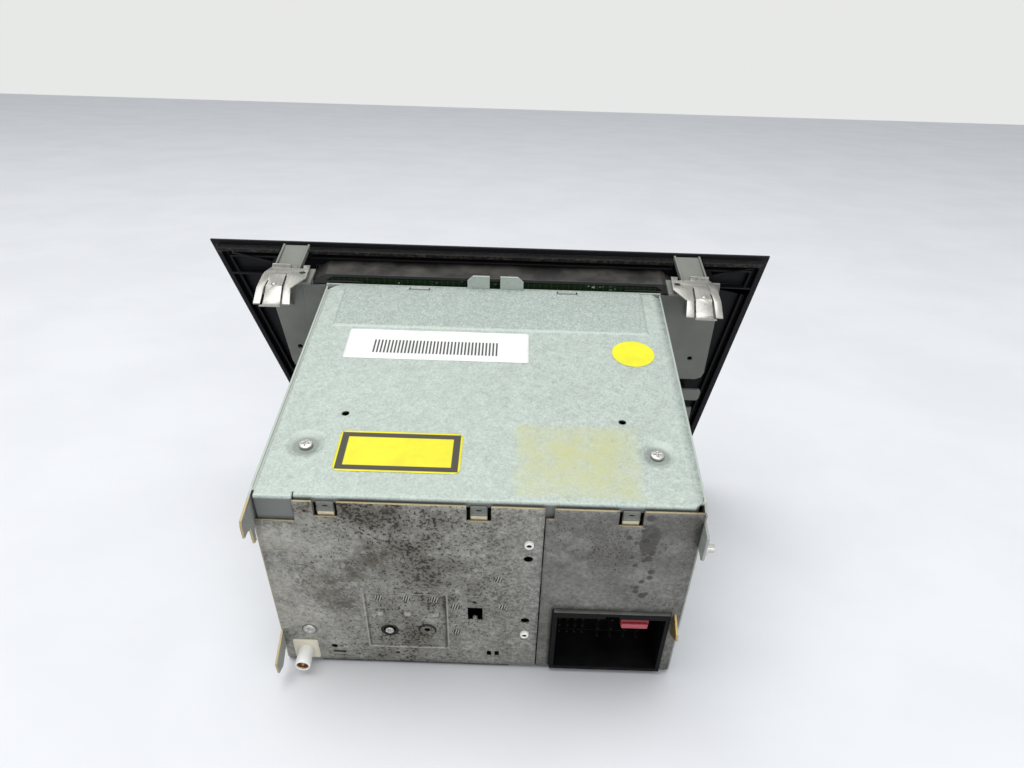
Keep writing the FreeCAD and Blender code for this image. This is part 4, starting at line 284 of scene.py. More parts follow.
# %% Group: zinc spangle
ZINC, given, out = new_group("zinc spangle", {"Vector": ("Vector", None), "Scale": ("Float", 420.0),
                                              "Contrast": ("Float", 0.1), "Grain": ("Float", 0.5),
                                              "Cloud": ("Float", 0.05),
                                              "Color": ("Color", (0.6, 0.6, 0.6, 1))},
                             {"Color": "Color", "Roughness": "Float", "Height": "Float"})
bent = add(ZINC, "ShaderNodeTexNoise", {"Vector": given["Vector"], "Scale": 300.0, "Detail": 1.0})
offset = add(ZINC, "ShaderNodeVectorMath", {0: bent.outputs["Color"], 3: 0.0016}, operation="SCALE")
place = add(ZINC, "ShaderNodeVectorMath", {0: given["Vector"], 1: offset.outputs[0]}, operation="ADD")
cells = add(ZINC, "ShaderNodeTexVoronoi", {"Vector": place.outputs[0], "Scale": given["Scale"]})
patch = add(ZINC, "ShaderNodeSeparateColor", {0: cells.outputs["Color"]}).outputs[0]
fine = noise(ZINC, given["Vector"], 1150.0, 2.0, 0.7)
broad = noise(ZINC, given["Vector"], 48.0, 5.0, 0.6)
level = plus(ZINC, times(ZINC, minus(ZINC, patch, 0.5), given["Contrast"]),
             times(ZINC, minus(ZINC, fine, 0.5), given["Grain"]))
level = plus(ZINC, level, times(ZINC, minus(ZINC, broad, 0.5), given["Cloud"]))
scaled = add(ZINC, "ShaderNodeVectorMath", {0: given["Color"], 3: plus(ZINC, 1.0, level)},
             operation="SCALE")
ZINC.links.new(scaled.outputs[0], out["Color"])
ZINC.links.new(plus(ZINC, 0.56, times(ZINC, level, 0.6)), out["Roughness"])
ZINC.links.new(plus(ZINC, times(ZINC, patch, 0.25), fine), out["Height"])
print("zinc spangle group:", len(ZINC.nodes), "nodes")

# %% [markdown]
# Years behind a dashboard leave grime: broad brown-grey stains, and small dark specks that are thickest
# where the stain is. A large soft noise makes the stain. A fine noise makes the specks, and the stain
# lowers the threshold that it has to pass. A third noise makes pale rubbed places.

# %% Group: grime
GRIME, given, out = new_group("grime", {"Vector": ("Vector", None), "Scale": ("Float", 900.0),
                                        "Stain Scale": ("Float", 26.0), "Amount": ("Float", 0.5)},
                              {"Specks": "Float", "Stain": "Float", "Rubbed": "Float"})
spot = noise(GRIME, given["Vector"], given["Scale"], 3.0, 0.6)
stain = ramp(GRIME, noise(GRIME, given["Vector"], given["Stain Scale"], 6.0, 0.62), 0.40, 0.68)
edge = minus(GRIME, 0.74, times(GRIME, given["Amount"], plus(GRIME, 0.09, times(GRIME, stain, 0.10))))
mask = add(GRIME, "ShaderNodeMapRange", {"Value": spot, "From Min": edge,
                                         "From Max": plus(GRIME, edge, 0.035)}).outputs[0]
GRIME.links.new(mask, out["Specks"])
GRIME.links.new(stain, out["Stain"])
GRIME.links.new(ramp(GRIME, noise(GRIME, given["Vector"], 60.0, 5.0, 0.7), 0.52, 0.74), out["Rubbed"])
print("grime group:", len(GRIME.nodes), "nodes")

# %% [markdown]
# Where sheet metal is cut, the edge keeps the gold of its passivation or shows bare steel. A cut edge is
# simply a face that doesn't look along the sheet's own direction, so the normal tells it from the sheet's
# two sides.

# %% Group: cut edge
CUT, given, out = new_group("cut edge", {"Facing": ("Vector", (0, 1, 0))}, {"Mask": "Float"})
normal = add(CUT, "ShaderNodeNewGeometry").outputs["True Normal"]
along = add(CUT, "ShaderNodeVectorMath", {0: normal, 1: given["Facing"]},
            operation="DOT_PRODUCT").outputs["Value"]
CUT.links.new(ramp(CUT, size_of(CUT, along), 0.75, 0.45), out["Mask"])
print("cut edge group:", len(CUT.nodes), "nodes")

# %% [markdown]
# Moulded plastic carries the spark-eroded grain of its mould and a film of dust that settles on faces that
# look up. The group gives a fine height for the bump and a dust mask from the normal's upward part, broken
# up by noise.

# %% Group: grain and dust
GRAIN, given, out = new_group("grain and dust", {"Vector": ("Vector", None), "Grain": ("Float", 1800.0),
                                                 "Dust": ("Float", 0.3)},
                              {"Height": "Float", "Dust": "Float"})
normal = add(GRAIN, "ShaderNodeNewGeometry").outputs["Normal"]
upward = axes(GRAIN, normal)[2]
patchy = noise(GRAIN, given["Vector"], 60.0, 5.0, 0.65)
film = times(GRAIN, ramp(GRAIN, upward, -0.2, 1.0), ramp(GRAIN, patchy, 0.35, 0.75))
GRAIN.links.new(times(GRAIN, film, given["Dust"]), out["Dust"])
GRAIN.links.new(noise(GRAIN, given["Vector"], given["Grain"], 3.0, 0.6), out["Height"])
print("grain group:", len(GRAIN.nodes), "nodes")

# %% [markdown]
# A material function starts each finish the same way: a Principled shader, Object coordinates and a bump.
# The finishes then differ only in what they mix.

# %% Start of a material
def start(name, metallic=0.0, **constants):
    """A new material; returns it, its tree, its shader node and the Object coordinates."""
    material = bpy.data.materials.new(name)
    material.use_nodes = True
    tree = material.node_tree
    shader = tree.nodes["Principled BSDF"]
    shader.inputs["Metallic"].default_value = metallic
    for key, value in constants.items():
        shader.inputs[key.replace("_", " ")].default_value = value
    return material, tree, shader, add(tree, "ShaderNodeTexCoord").outputs["Object"]


def finish_with(tree, shader, color, roughness, height=None, strength=0.1, depth=0.0001):
    """Links a colour, a roughness and a bump height to the shader."""
    for value, key in ((color, "Base Color"), (roughness, "Roughness")):
        if isinstance(value, bpy.types.NodeSocket):
            tree.links.new(value, shader.inputs[key])
        else:
            shader.inputs[key].default_value = value
    if height is not None:
        bump = add(tree, "ShaderNodeBump", {"Height": height, "Strength": strength, "Distance": depth})
        tree.links.new(bump.outputs[0], shader.inputs["Normal"])


# %% [markdown]
# Every sheet of the case is the same zinc-coated steel with its own share of dirt. One function mixes the
# layers in the order in which they came to the metal: spangle, dull mottling, rubbed places, stains and
# specks. On a rear panel the dirt fades towards the sides, and the upper cut edges keep the gold of their
# passivation.

# %% A sheet of zinc
GOLD = (0.36, 0.30, 0.18, 1)


def zinc_sheet(name, color, contrast=0.12, grain=0.5, dirt=0.3, stain=0.0, rub=0.0, facing=None,
               metallic=0.3, grime_from=None, bump=0.25, cloud=0.05, speck=900.0, mottle=0.0):
    """Spangled sheet with stains, specks and rubbed places.

    facing is the sheet's own direction, and faces that look another way near the top are gold. grime_from
    holds four X values in metres: the dirt fades in between the first two and out between the last two."""
    material, tree, shader, coords = start(name, metallic)
    sheet = use(tree, ZINC, Vector=coords, Contrast=contrast, Grain=grain, Cloud=cloud, Color=(*color, 1))
    grime = use(tree, GRIME, Vector=coords, Amount=dirt, Scale=speck)
    stained = times(tree, grime["Stain"], stain)
    specks = times(tree, grime["Specks"], 0.92)
    if grime_from is not None:
        x = axes(tree, coords)[0]
        there = times(tree, ramp(tree, x, *grime_from[:2]),
                      minus(tree, 1.0, times(tree, ramp(tree, x, *grime_from[2:]), 0.75)))
        stained = times(tree, stained, there)
        specks = times(tree, specks, plus(tree, 0.35, times(tree, there, 0.65)))
    mottled = ramp(tree, noise(tree, coords, 520.0, 6.0, 0.82), 0.42, 0.62)
    dulled = blend_colours(tree, times(tree, mottled, mottle), sheet["Color"],
                           (*[c * 0.35 for c in color], 1))
    rubbed = blend_colours(tree, times(tree, grime["Rubbed"], rub), dulled,
                           (*[min(1, c * 1.9) for c in color], 1))
    tinted = blend_colours(tree, stained, rubbed, (color[0] * 0.30, color[1] * 0.265, color[2] * 0.20, 1))
    shaded = blend_colours(tree, specks, tinted, (0.030, 0.027, 0.022, 1))
    if facing is not None:
        z = axes(tree, coords)[2]
        shown = times(tree, use(tree, CUT, Facing=facing)["Mask"], ramp(tree, z, 0.0965, 0.0970))
        shaded = blend_colours(tree, shown, shaded, GOLD)
    rough = plus(tree, sheet["Roughness"], times(tree, stained, 0.2))
    finish_with(tree, shader, shaded, rough, sheet["Height"], bump, 0.00010)
    return material, tree, shader, coords, shaded


print("sheet function ready, gold", GOLD[:3])

# %% [markdown]
# A label was once glued near the cover's back edge, and its glue has gone yellow in a ragged patch. The
# larger of two scaled distances makes a rectangle, and noise added to it frays the outline. The same
# function gives the raised strip its leather-like grain and gives the edge that is rolled down behind a
# painted shade.

# %% Old glue on the cover
GLUE_SHIFT = (0.040, -0.052, 0.0)       # metres: brings the patch's centre to the origin
GLUE_HALF = (0.0255, 0.021)             # metres
STRIP_SIDE = (0.0792, 0.0784)           # metres: the strip fades out between these
STRIP_REAR = (-0.0396, -0.0404)
ROLLED = (0.1092, 0.1082)


def add_glue(tree, shader, coords, under):
    """A yellowed, ragged patch of old glue: a rectangle's distance, moved by noise, gives its edge."""
    centred = add(tree, "ShaderNodeMapping", {"Vector": coords, "Location": GLUE_SHIFT}).outputs[0]
    x, y, z = axes(tree, centred)
    reach_x = maths(tree, "DIVIDE", size_of(tree, x), GLUE_HALF[0])
    reach_y = maths(tree, "DIVIDE", size_of(tree, y), GLUE_HALF[1])
    reach = larger(tree, reach_x, reach_y)
    ragged = plus(tree, reach, times(tree, noise(tree, coords, 260.0, 5.0, 0.75), 0.42))
    inside = ramp(tree, ragged, 1.30, 1.12)
    blotchy = times(tree, inside, ramp(tree, noise(tree, coords, 120.0, 6.0, 0.75), 0.3, 0.66, 0.25, 1.0))
    deep = ramp(tree, reach, 1.0, 0.2, 0.6, 1.0)
    glue = blend_colours(tree, noise(tree, coords, 55.0, 5.0, 0.7), (0.47, 0.49, 0.36, 1),
                         (0.44, 0.45, 0.15, 1))
    mixed = blend_colours(tree, times(tree, blotchy, deep), under, glue)
    x, y, z = axes(tree, coords)
    strip_x = ramp(tree, size_of(tree, x), *STRIP_SIDE)
    pressed = times(tree, strip_x, ramp(tree, y, *STRIP_REAR))
    leather = ramp(tree, noise(tree, coords, 1100.0, 2.0, 0.6), 0.42, 0.58)
    creased = blend_colours(tree, times(tree, times(tree, leather, pressed), 0.55), mixed,
                            (0.25, 0.29, 0.28, 1))
    # Painted shade: the edge rolled down behind the bend, between the ROLLED heights, is darkened.
    lip = ramp(tree, z, *ROLLED)
    tree.links.new(blend_colours(tree, times(tree, lip, 0.88), creased, (0.125, 0.130, 0.125, 1)),
                   shader.inputs["Base Color"])


print("glue patch", [round(2000 * half) for half in GLUE_HALF], "mm")

# %% [markdown]
# Now each sheet gets its colour and its dirt. The cover is pale and slightly green. The rear panels are
# greyer, darker and much dirtier. The base has a dark line along its lowest edge, where the light of the
# studio doesn't reach.

# %% The zinc finishes
cover_zinc, tree, shader, coords, color = zinc_sheet("cover zinc", (0.405, 0.462, 0.425), 0.14, 1.0, 0.22,
                                                     cloud=0.14)
add_glue(tree, shader, coords, color)
rear_zinc, tree_r, shader_r, coords_r, color_r = zinc_sheet("rear zinc", (0.310, 0.306, 0.277),
                                                            contrast=0.30, grain=1.4, dirt=1.40, stain=0.80,
                                                            rub=0.55, facing=(0, 1, 0), metallic=0.45,
                                                            grime_from=(-0.030, 0.020, 0.066, 0.080),
                                                            bump=0.4, cloud=1.1, speck=760.0, mottle=0.70)
amp_zinc, tree_a, shader_a, coords_a, color_a = zinc_sheet("amplifier zinc", (0.212, 0.210, 0.198),
                                                           contrast=0.26, grain=1.2, dirt=0.85, stain=0.45,
                                                           rub=0.65, facing=(0, 1, 0), metallic=0.45,
                                                           bump=0.35, cloud=1.2, speck=1150.0, mottle=0.55)
wall_zinc, tree_w, shader_w, coords_w, color_w = zinc_sheet("wall zinc", (0.36, 0.38, 0.355), 0.14, 0.6,
                                                            0.4, 0.25)
base_zinc, tree_b, shader_b, coords_b, color_b = zinc_sheet("base zinc", (0.20, 0.205, 0.20), 0.2, 0.8, 0.7,
                                                            0.4, cloud=0.6, mottle=0.5)
low = ramp(tree_b, axes(tree_b, coords_b)[2], 0.0026, 0.0014)
tree_b.links.new(blend_colours(tree_b, times(tree_b, low, 0.93), color_b, (0.012, 0.012, 0.013, 1)),
                 shader_b.inputs["Base Color"])
plate_zinc = zinc_sheet("front plate zinc", (0.42, 0.46, 0.425), 0.10, 0.4, 0.3, 0.1)[0]
inner_zinc = zinc_sheet("inner zinc", (0.45, 0.47, 0.45), 0.10, 0.4, 0.15)[0]
tab_zinc = zinc_sheet("tab zinc", (0.155, 0.158, 0.140), 0.16, 0.7, 0.5, cloud=0.3)[0]
# Painted highlight: the tongues are a pale cream, for the light that their tops catch.
tongue_highlight_zinc = zinc_sheet("tongue zinc", (0.62, 0.56, 0.40), 0.10, 0.4, 0.2)[0]
print("zinc materials ready")

# %% [markdown]
# Water once ran down the amplifier panel and left a trail of round grey blots under a larger pool. Voronoi
# cells give the blots: each is dark near its cell's centre, some cells are left out, and only cells near a
# slanting line are kept. The pool is an upright ellipse with a frayed edge, and the panel's outer end is
# dusty.

# %% Blots on the amplifier panel
TRAIL_X, TRAIL_LEAN = 0.0670, -0.12     # metres to the middle, and metres sideways per metre of height
POOL = (0.0690, 0.0930)                 # metres: the pool's distance from the middle, and its height
BLOT_GREY = (0.060, 0.056, 0.052, 1)
tree, shader, coords, color = tree_a, shader_a, coords_a, color_a
x, y, z = axes(tree, coords)
flat = add(tree, "ShaderNodeCombineXYZ", {0: x, 1: 0.0, 2: z}).outputs[0]
drops = add(tree, "ShaderNodeTexVoronoi", {"Vector": flat, "Scale": 230.0, "Randomness": 0.9})
kept = ramp(tree, add(tree, "ShaderNodeSeparateColor", {0: drops.outputs["Color"]}).outputs[1], 0.30, 0.35)
line = plus(tree, plus(tree, x, TRAIL_X), times(tree, minus(tree, z, 0.080), TRAIL_LEAN))
near = times(tree, ramp(tree, size_of(tree, line), 0.0085, 0.004), ramp(tree, z, 0.048, 0.056))
blot = times(tree, ramp(tree, drops.outputs["Distance"], 0.50, 0.38), times(tree, kept, near))
blotted = blend_colours(tree, times(tree, blot, 0.90), color, BLOT_GREY)
patch_x, patch_z = plus(tree, x, POOL[0]), minus(tree, z, POOL[1])
away = maths(tree, "SQRT", plus(tree, times(tree, patch_x, patch_x),
                                times(tree, times(tree, patch_z, patch_z), 0.25)))
pool = ramp(tree, plus(tree, away, times(tree, noise(tree, flat, 170.0, 4.0, 0.7), 0.008)), 0.0088, 0.0074)
pooled = blend_colours(tree, times(tree, pool, 0.78), blotted, BLOT_GREY)
loose = ramp(tree, noise(tree, flat, 300.0, 4.0, 0.7), 0.4, 0.6)
dusty = times(tree, ramp(tree, x, -0.0800, -0.0850), loose)
tree.links.new(blend_colours(tree, times(tree, dusty, 0.5), pooled, (0.075, 0.068, 0.055, 1)),
               shader.inputs["Base Color"])
print("blots ready:", len(tree.nodes), "nodes")

# %% [markdown]
# The side walls end in prongs that stick out behind the box. On the right-hand wall their cut edges are
# gold. The top edge of a wall catches the light, so it is paler. Both follow from where a face lies and
# which way it looks.

# %% Gold prongs of the side walls
beyond = ramp(tree_w, axes(tree_w, coords_w)[1], 0.0765, 0.0785)
edges = times(tree_w, use(tree_w, CUT, Facing=(1, 0, 0))["Mask"], beyond)
wall_x, _, wall_z = axes(tree_w, coords_w)
right_only = times(tree_w, edges, ramp(tree_w, wall_x, 0.0, 0.01))
topped = blend_colours(tree_w, ramp(tree_w, wall_z, 0.1088, 0.1092), color_w, (0.40, 0.45, 0.41, 1))
tree_w.links.new(blend_colours(tree_w, right_only, topped, (0.42, 0.33, 0.17, 1)),
                 shader_w.inputs["Base Color"])
print("prongs ready:", len(tree_w.nodes), "nodes")

# %% [markdown]
# The rear panel's small pressed marks are too fine to read by shape alone, so the material follows them.
# Their places are named here and are used again when the panel's surface is made. A distance to the nearest
# of a few centres, in the panel's own plane, says where a mark is.

# %% Where the marks of the press are
RECESS = (13.5, 50.0, 12.5, 52.0)       # millimetres: X and Z limits of the shallow recess
DIMPLES = [(x, z) for z in (48.3, 37.3) for x in (43.6, 31.4, 19.1)]
LANCES = [(-8.6, 64.1), (10.0, 44.4), (-10.9, 44.9), (9.8, 25.9)]
SUNK_SCREW = (40.1, 24.6)
EYELET = (23.0, 25.8)
AERIAL_SCREW = (76.6, 24.0)


def close_to(tree, place, centres, reach, soft=0.0004):
    """1 where the place lies within reach (metres) of one of the (x, z) centres in millimetres."""
    total = None
    for cx, cz in centres:
        away = add(tree, "ShaderNodeVectorMath", {0: place, 1: (cx * MM, 0.0, cz * MM)},
                   operation="DISTANCE").outputs["Value"]
        near = ramp(tree, away, reach + soft, reach)
        total = near if total is None else larger(tree, total, near)
    return total


x, y, z = axes(tree_r, coords_r)
place = add(tree_r, "ShaderNodeCombineXYZ", {0: x, 1: 0.0, 2: z}).outputs[0]
print("places named:", len(DIMPLES), "dimples,", len(LANCES), "lances")

# %% [markdown]
# A brown crust has grown to the left of the recess. Where the press hatched the metal, a painted
# highlight lies over the mark and thin stripes of painted shade cross it, for the light on its small ridges:
# a sine across the panel makes the stripes, and it counts only close to a hatched mark. The lower dimples
# get a painted glint.

# %% Crust, painted ridge shade and glints
HATCHED = DIMPLES[:3] + LANCES
GLINTING = DIMPLES[3:]
bent_x = plus(tree_r, x, times(tree_r, z, 0.25))
ridge_shade_stripes = ramp(tree_r, maths(tree_r, "SINE", times(tree_r, bent_x, 5600.0)), -0.15, 0.15)
hatched = close_to(tree_r, place, HATCHED, 0.0018)
crust = ramp(tree_r, noise(tree_r, coords_r, 210.0, 6.0, 0.8), 0.40, 0.55)
SOILED = [(62.0, 58.0), (60.0, 45.0), (54.0, 68.0), (42.0, 76.0)]
soiled = times(tree_r, close_to(tree_r, place, SOILED, 0.003, 0.011), crust)
marked = blend_colours(tree_r, times(tree_r, soiled, 0.78), color_r, (0.064, 0.053, 0.033, 1))
# Painted highlight over each hatched mark, then stripes of painted shade across it.
marked = blend_colours(tree_r, times(tree_r, hatched, 0.75), marked, (0.44, 0.43, 0.38, 1))
marked = blend_colours(tree_r, times(tree_r, hatched, ridge_shade_stripes), marked, (0.024, 0.022, 0.018, 1))
# Painted glint on the lower dimples.
glint = times(tree_r, close_to(tree_r, place, GLINTING, 0.0010, 0.0009), 0.5)
marked = blend_colours(tree_r, glint, marked, (0.62, 0.60, 0.52, 1))
print("crust and hatching ready")

# %% [markdown]
# The edge of the recess has a painted highlight outside and a painted shadow inside. The signed distance to
# its rectangle is the larger of two distances, one for each direction, and a narrow band of it gives either
# line. Dark rings of painted shade lie round the sunk screw and the eyelet, a painted shadow lies just under
# the aerial's screw, and the panel is paler towards its outer end.

# %% Recess, rings and pale end
middle_x, half_x = (RECESS[0] + RECESS[1]) / 2 * MM, (RECESS[1] - RECESS[0]) / 2 * MM
middle_z, half_z = (RECESS[2] + RECESS[3]) / 2 * MM, (RECESS[3] - RECESS[2]) / 2 * MM
side_x = minus(tree_r, size_of(tree_r, minus(tree_r, x, middle_x)), half_x)
side_z = minus(tree_r, size_of(tree_r, minus(tree_r, z, middle_z)), half_z)
outside = larger(tree_r, side_x, side_z)
# Painted highlight: a pale line on the recess's edge; below it, a painted shadow just inside the edge.
tarnish_and_rim_highlight = times(tree_r, ramp(tree_r, size_of(tree_r, outside), 0.00045, 0.00015), 0.55)
marked = blend_colours(tree_r, tarnish_and_rim_highlight, marked, (0.50, 0.48, 0.41, 1))
shade = times(tree_r, ramp(tree_r, size_of(tree_r, plus(tree_r, outside, 0.0009)), 0.0006, 0.0002), 0.45)
marked = blend_colours(tree_r, shade, marked, (0.07, 0.065, 0.055, 1))
# Painted shade: dark rings round the sunk screw and the eyelet, and a shadow under the aerial's screw.
rings = minus(tree_r, close_to(tree_r, place, [SUNK_SCREW, EYELET], 0.0040, 0.0002),
              close_to(tree_r, place, [EYELET], 0.0033, 0.0002), clamp=True)
below_screw = (AERIAL_SCREW[0], AERIAL_SCREW[1] - 0.6)
rings = larger(tree_r, rings, times(tree_r, close_to(tree_r, place, [below_screw], 0.0034), 0.75))
marked = blend_colours(tree_r, times(tree_r, rings, 0.95), marked, (0.012, 0.011, 0.010, 1))
pale = times(tree_r, ramp(tree_r, x, 0.052, 0.078), 0.40)
marked = blend_colours(tree_r, times(tree_r, pale, ramp(tree_r, noise(tree_r, coords_r, 70.0, 5.0, 0.7),
                                                        0.35, 0.62)), marked, (0.50, 0.48, 0.42, 1))
tree_r.links.new(marked, shader_r.inputs["Base Color"])
print("marks of the press ready")

# %% [markdown]
# Plastics differ in colour, gloss, grain and dust. Metals that are drawn, turned or plated have fine lines
# or a smooth skin. Both are made by short functions, so each node of the unit can have its own finish.

# %% Plastic and metal functions
def plastic(name, color, rough=0.45, grain=1800.0, bump=0.12, dust=0.3, dust_color=(0.32, 0.31, 0.29, 1),
            **constants):
    """Moulded plastic: mould grain, a slow change of gloss and a film of dust on upward faces."""
    material, tree, shader, coords = start(name, 0.0, **constants)
    skin = use(tree, GRAIN, Vector=coords, Grain=grain, Dust=dust)
    cloudy = noise(tree, coords, 45.0, 3.0)
    tone = blend_colours(tree, ramp(tree, cloudy, 0.3, 0.7), (*[c * 0.86 for c in color], 1),
                         (*[min(1, c * 1.12) for c in color], 1))
    dusty = blend_colours(tree, skin["Dust"], tone, dust_color)
    gloss = plus(tree, rough, times(tree, skin["Dust"], 0.4))
    finish_with(tree, shader, dusty, gloss, skin["Height"], bump, 0.00008)
    return material


def metal(name, color, rough=0.3, stretch=(1, 1, 1), scale=900.0, bump=0.06, tarnish=(0.2, 0.17, 0.12),
          marks=0.35):
    """Plated, drawn or turned metal: stretched noise gives the tool's lines, specks give the tarnish."""
    material, tree, shader, coords = start(name, 1.0)
    drawn = add(tree, "ShaderNodeMapping", {"Vector": coords, "Scale": stretch}).outputs[0]
    lines = noise(tree, drawn, scale, 3.0, 0.6)
    specks = use(tree, GRIME, Vector=coords, Amount=marks, Scale=700.0)
    tone = blend_colours(tree, ramp(tree, lines, 0.2, 0.8), (*[c * 0.8 for c in color], 1), (*color, 1))
    tarnish_and_rim_highlight = blend_colours(tree, times(tree, specks["Specks"], 0.6), tone, (*tarnish, 1))
    gloss = plus(tree, rough, times(tree, lines, 0.16))
    finish_with(tree, shader, tarnish_and_rim_highlight, gloss, lines, bump, 0.00004)
    return material


print("plastic and metal functions ready")

# %% [markdown]
# The fascia is black and nearly dull. Behind its top edge runs a channel where dust and fibres have
# gathered. The channel lies between two heights, and only faces that look up or back hold dust, so the
# front stays clean.

# %% The fascia and its dusty channel
fascia_black = plastic("fascia black", (0.0030, 0.0030, 0.0044), 0.50, 2400.0, 0.10, 0.015,
                       Specular_IOR_Level=0.20)
tree = fascia_black.node_tree
shader = tree.nodes["Principled BSDF"]
under = shader.inputs["Base Color"].links[0].from_socket
coords = add(tree, "ShaderNodeTexCoord").outputs["Object"]
upright = axes(tree, coords)[2]
faced = axes(tree, add(tree, "ShaderNodeNewGeometry").outputs["True Normal"])
behind = ramp(tree, larger(tree, faced[1], faced[2]), 0.2, 0.5)
channel = times(tree, ramp(tree, upright, 0.1184, 0.1194), ramp(tree, upright, 0.1220, 0.1212))
litter = times(tree, times(tree, channel, behind), ramp(tree, noise(tree, coords, 600.0, 6.0, 0.8), 0.48,
                                                        0.62))
tree.links.new(blend_colours(tree, times(tree, litter, 0.7), under, (0.070, 0.058, 0.040, 1)),
               shader.inputs["Base Color"])
print("fascia finish:", len(tree.nodes), "nodes")

# %% [markdown]
# The rest of the plastics and metals need no more than their own numbers: a colour, a roughness, the size
# of the grain, the strength of the bump and the dust. Where a metal's stretch is small in one direction,
# its lines run that way.

# %% Other plastics and metals
frame_black = plastic("frame black", (0.008, 0.008, 0.008), 0.5, 1500.0, 0.15, 0.34, (0.15, 0.14, 0.12, 1))
carrier_grey = plastic("carrier grey", (0.150, 0.156, 0.138), 0.50, 1400.0, 0.14, 0.2,
                       (0.26, 0.25, 0.21, 1))
# Painted shade: this black is darker than the other black plastics, for the shroud's deep inside.
header_black = plastic("header black", (0.0016, 0.0016, 0.0020), 0.50, 1600.0, 0.08, 0.03,
                       (0.20, 0.20, 0.18, 1), Specular_IOR_Level=0.12)
# Painted highlight, partly dust: the header's rim is lighter and dustier than the header, as if lit from
# above.
header_rim_highlight = plastic("header rim highlight", (0.10, 0.10, 0.092), 0.48, 1600.0, 0.08, 0.60, (0.22, 0.215, 0.19, 1))
aerial_cream = plastic("aerial cream", (0.66, 0.62, 0.50), 0.42, 1200.0, 0.08, 0.2)
aerial_white = plastic("aerial white", (0.92, 0.92, 0.90), 0.34, 1200.0, 0.05, 0.1)
nylon_white = plastic("natural nylon", (0.82, 0.82, 0.78), 0.36, 1300.0, 0.06, 0.1)
gear_white = plastic("gear white", (0.78, 0.77, 0.71), 0.4, 1500.0, 0.05, 0.0)
chip_black = plastic("chip black", (0.02, 0.02, 0.02), 0.5, 3000.0, 0.2, 0.1)
rubber_black = plastic("rubber", (0.018, 0.018, 0.018), 0.75, 900.0, 0.25, 0.15)
roller_grey = plastic("roller rubber", (0.045, 0.045, 0.045), 0.8, 2200.0, 0.3, 0.05)
# Real felt for the slot seal; the same black also paints shade in the rivets' holes.
felt_and_shade_black = plastic("felt", (0.012, 0.012, 0.012), 0.95, 5200.0, 0.9, 0.1)
trim_gloss = plastic("gloss trim", (0.008, 0.008, 0.010), 0.16, 400.0, 0.01, 0.05, Coat_Weight=0.5)
knob_black = plastic("knob black", (0.014, 0.014, 0.015), 0.5, 2600.0, 0.2, 0.12)
button_black = plastic("button black", (0.016, 0.016, 0.017), 0.44, 2600.0, 0.15, 0.10)
sleeve_blue = plastic("capacitor sleeve", (0.02, 0.025, 0.06), 0.3, 600.0, 0.03, 0.2)
clip_steel = metal("spring steel", (0.43, 0.425, 0.40), 0.38, (1, 0.15, 1), 1300.0, 0.14, marks=0.8)
plated = metal("plated steel", (0.62, 0.62, 0.58), 0.28, (1, 1, 1), 800.0, 0.06)
screw_steel = metal("screw steel", (0.56, 0.56, 0.54), 0.30, (1, 1, 1), 700.0, 0.08, marks=0.45)
brass = metal("tinned brass", (0.70, 0.56, 0.28), 0.3, (1, 0.2, 1), 1200.0, 0.05)
copper = metal("aerial contact", (0.42, 0.24, 0.13), 0.38, (1, 1, 1), 1200.0, 0.08, (0.10, 0.06, 0.04), 0.5)
# Painted shade: the header's tinned contacts are made nearly black, for the shade of the shroud round them.
contact_in_shade = metal("contact in painted shade", (0.035, 0.033, 0.027), 0.6, (1, 1, 1), 900.0, 0.05)
tin = metal("tinned can", (0.62, 0.63, 0.62), 0.3, (1, 1, 1), 500.0, 0.05)
turned_alloy = metal("turned alloy", (0.62, 0.62, 0.63), 0.25, (1, 0.1, 1), 1500.0, 0.05)
cast_alloy = metal("cast alloy", (0.34, 0.35, 0.37), 0.5, (1, 1, 1), 1000.0, 0.3)
print("plastics and metals ready")

# %% [markdown]
# A circuit board is glass-fibre laminate under green lacquer; copper tracks show through as paler lines. A
# brick pattern bent to right angles stands in for the tracks. The lens and the display window are clear,
# smooth and slightly tinted.

# %% Board, glass and paper materials
def board_material(name, green):
    """Green lacquer over tracks: thin bright lines from two crossed brick textures."""
    material, tree, shader, coords = start(name, 0.0)
    tracks = add(tree, "ShaderNodeTexBrick", {"Vector": coords, "Color1": (0, 0, 0, 1),
                                              "Color2": (0.05, 0.05, 0.05, 1), "Mortar": (1, 1, 1, 1),
                                              "Scale": 160.0, "Mortar Size": 0.03})
    tone = blend_colours(tree, tracks.outputs["Color"], (*green, 1),
                         (*[min(1, c * 2.2 + 0.02) for c in green], 1))
    specks = use(tree, GRIME, Vector=coords, Amount=0.6, Scale=300.0)
    spotted = blend_colours(tree, specks["Specks"], tone, (0.5, 0.5, 0.46, 1))
    finish_with(tree, shader, spotted, 0.32, tracks.outputs["Fac"], 0.1, 0.00005)
    return material


def clear_material(name, color, rough):
    """A smooth, see-through solid; dust breaks its shine a little."""
    material, tree, shader, coords = start(name, 0.0, Transmission_Weight=0.75, IOR=1.49)
    haze = ramp(tree, noise(tree, coords, 120.0, 5.0, 0.7), 0.45, 0.8, rough, rough + 0.12)
    tone = blend_colours(tree, haze, (*color, 1), (0.25, 0.25, 0.25, 1))
    finish_with(tree, shader, tone, haze)
    return material


main_green = board_material("main board", (0.016, 0.075, 0.030))
front_green = board_material("front board", (0.009, 0.026, 0.008))
lens_glass = clear_material("lens glass", (0.45, 0.50, 0.80), 0.02)
window_glass = clear_material("display window", (0.06, 0.07, 0.08), 0.05)
print("board, glass ready")

# %% [markdown]
# Pressed sheet metal is one surface: a grid whose height says where the press pushed it. Grid lines lie on
# the edges of every cut-out, cells inside a cut-out are left out, and points next to a round hole are moved
# onto its circle.

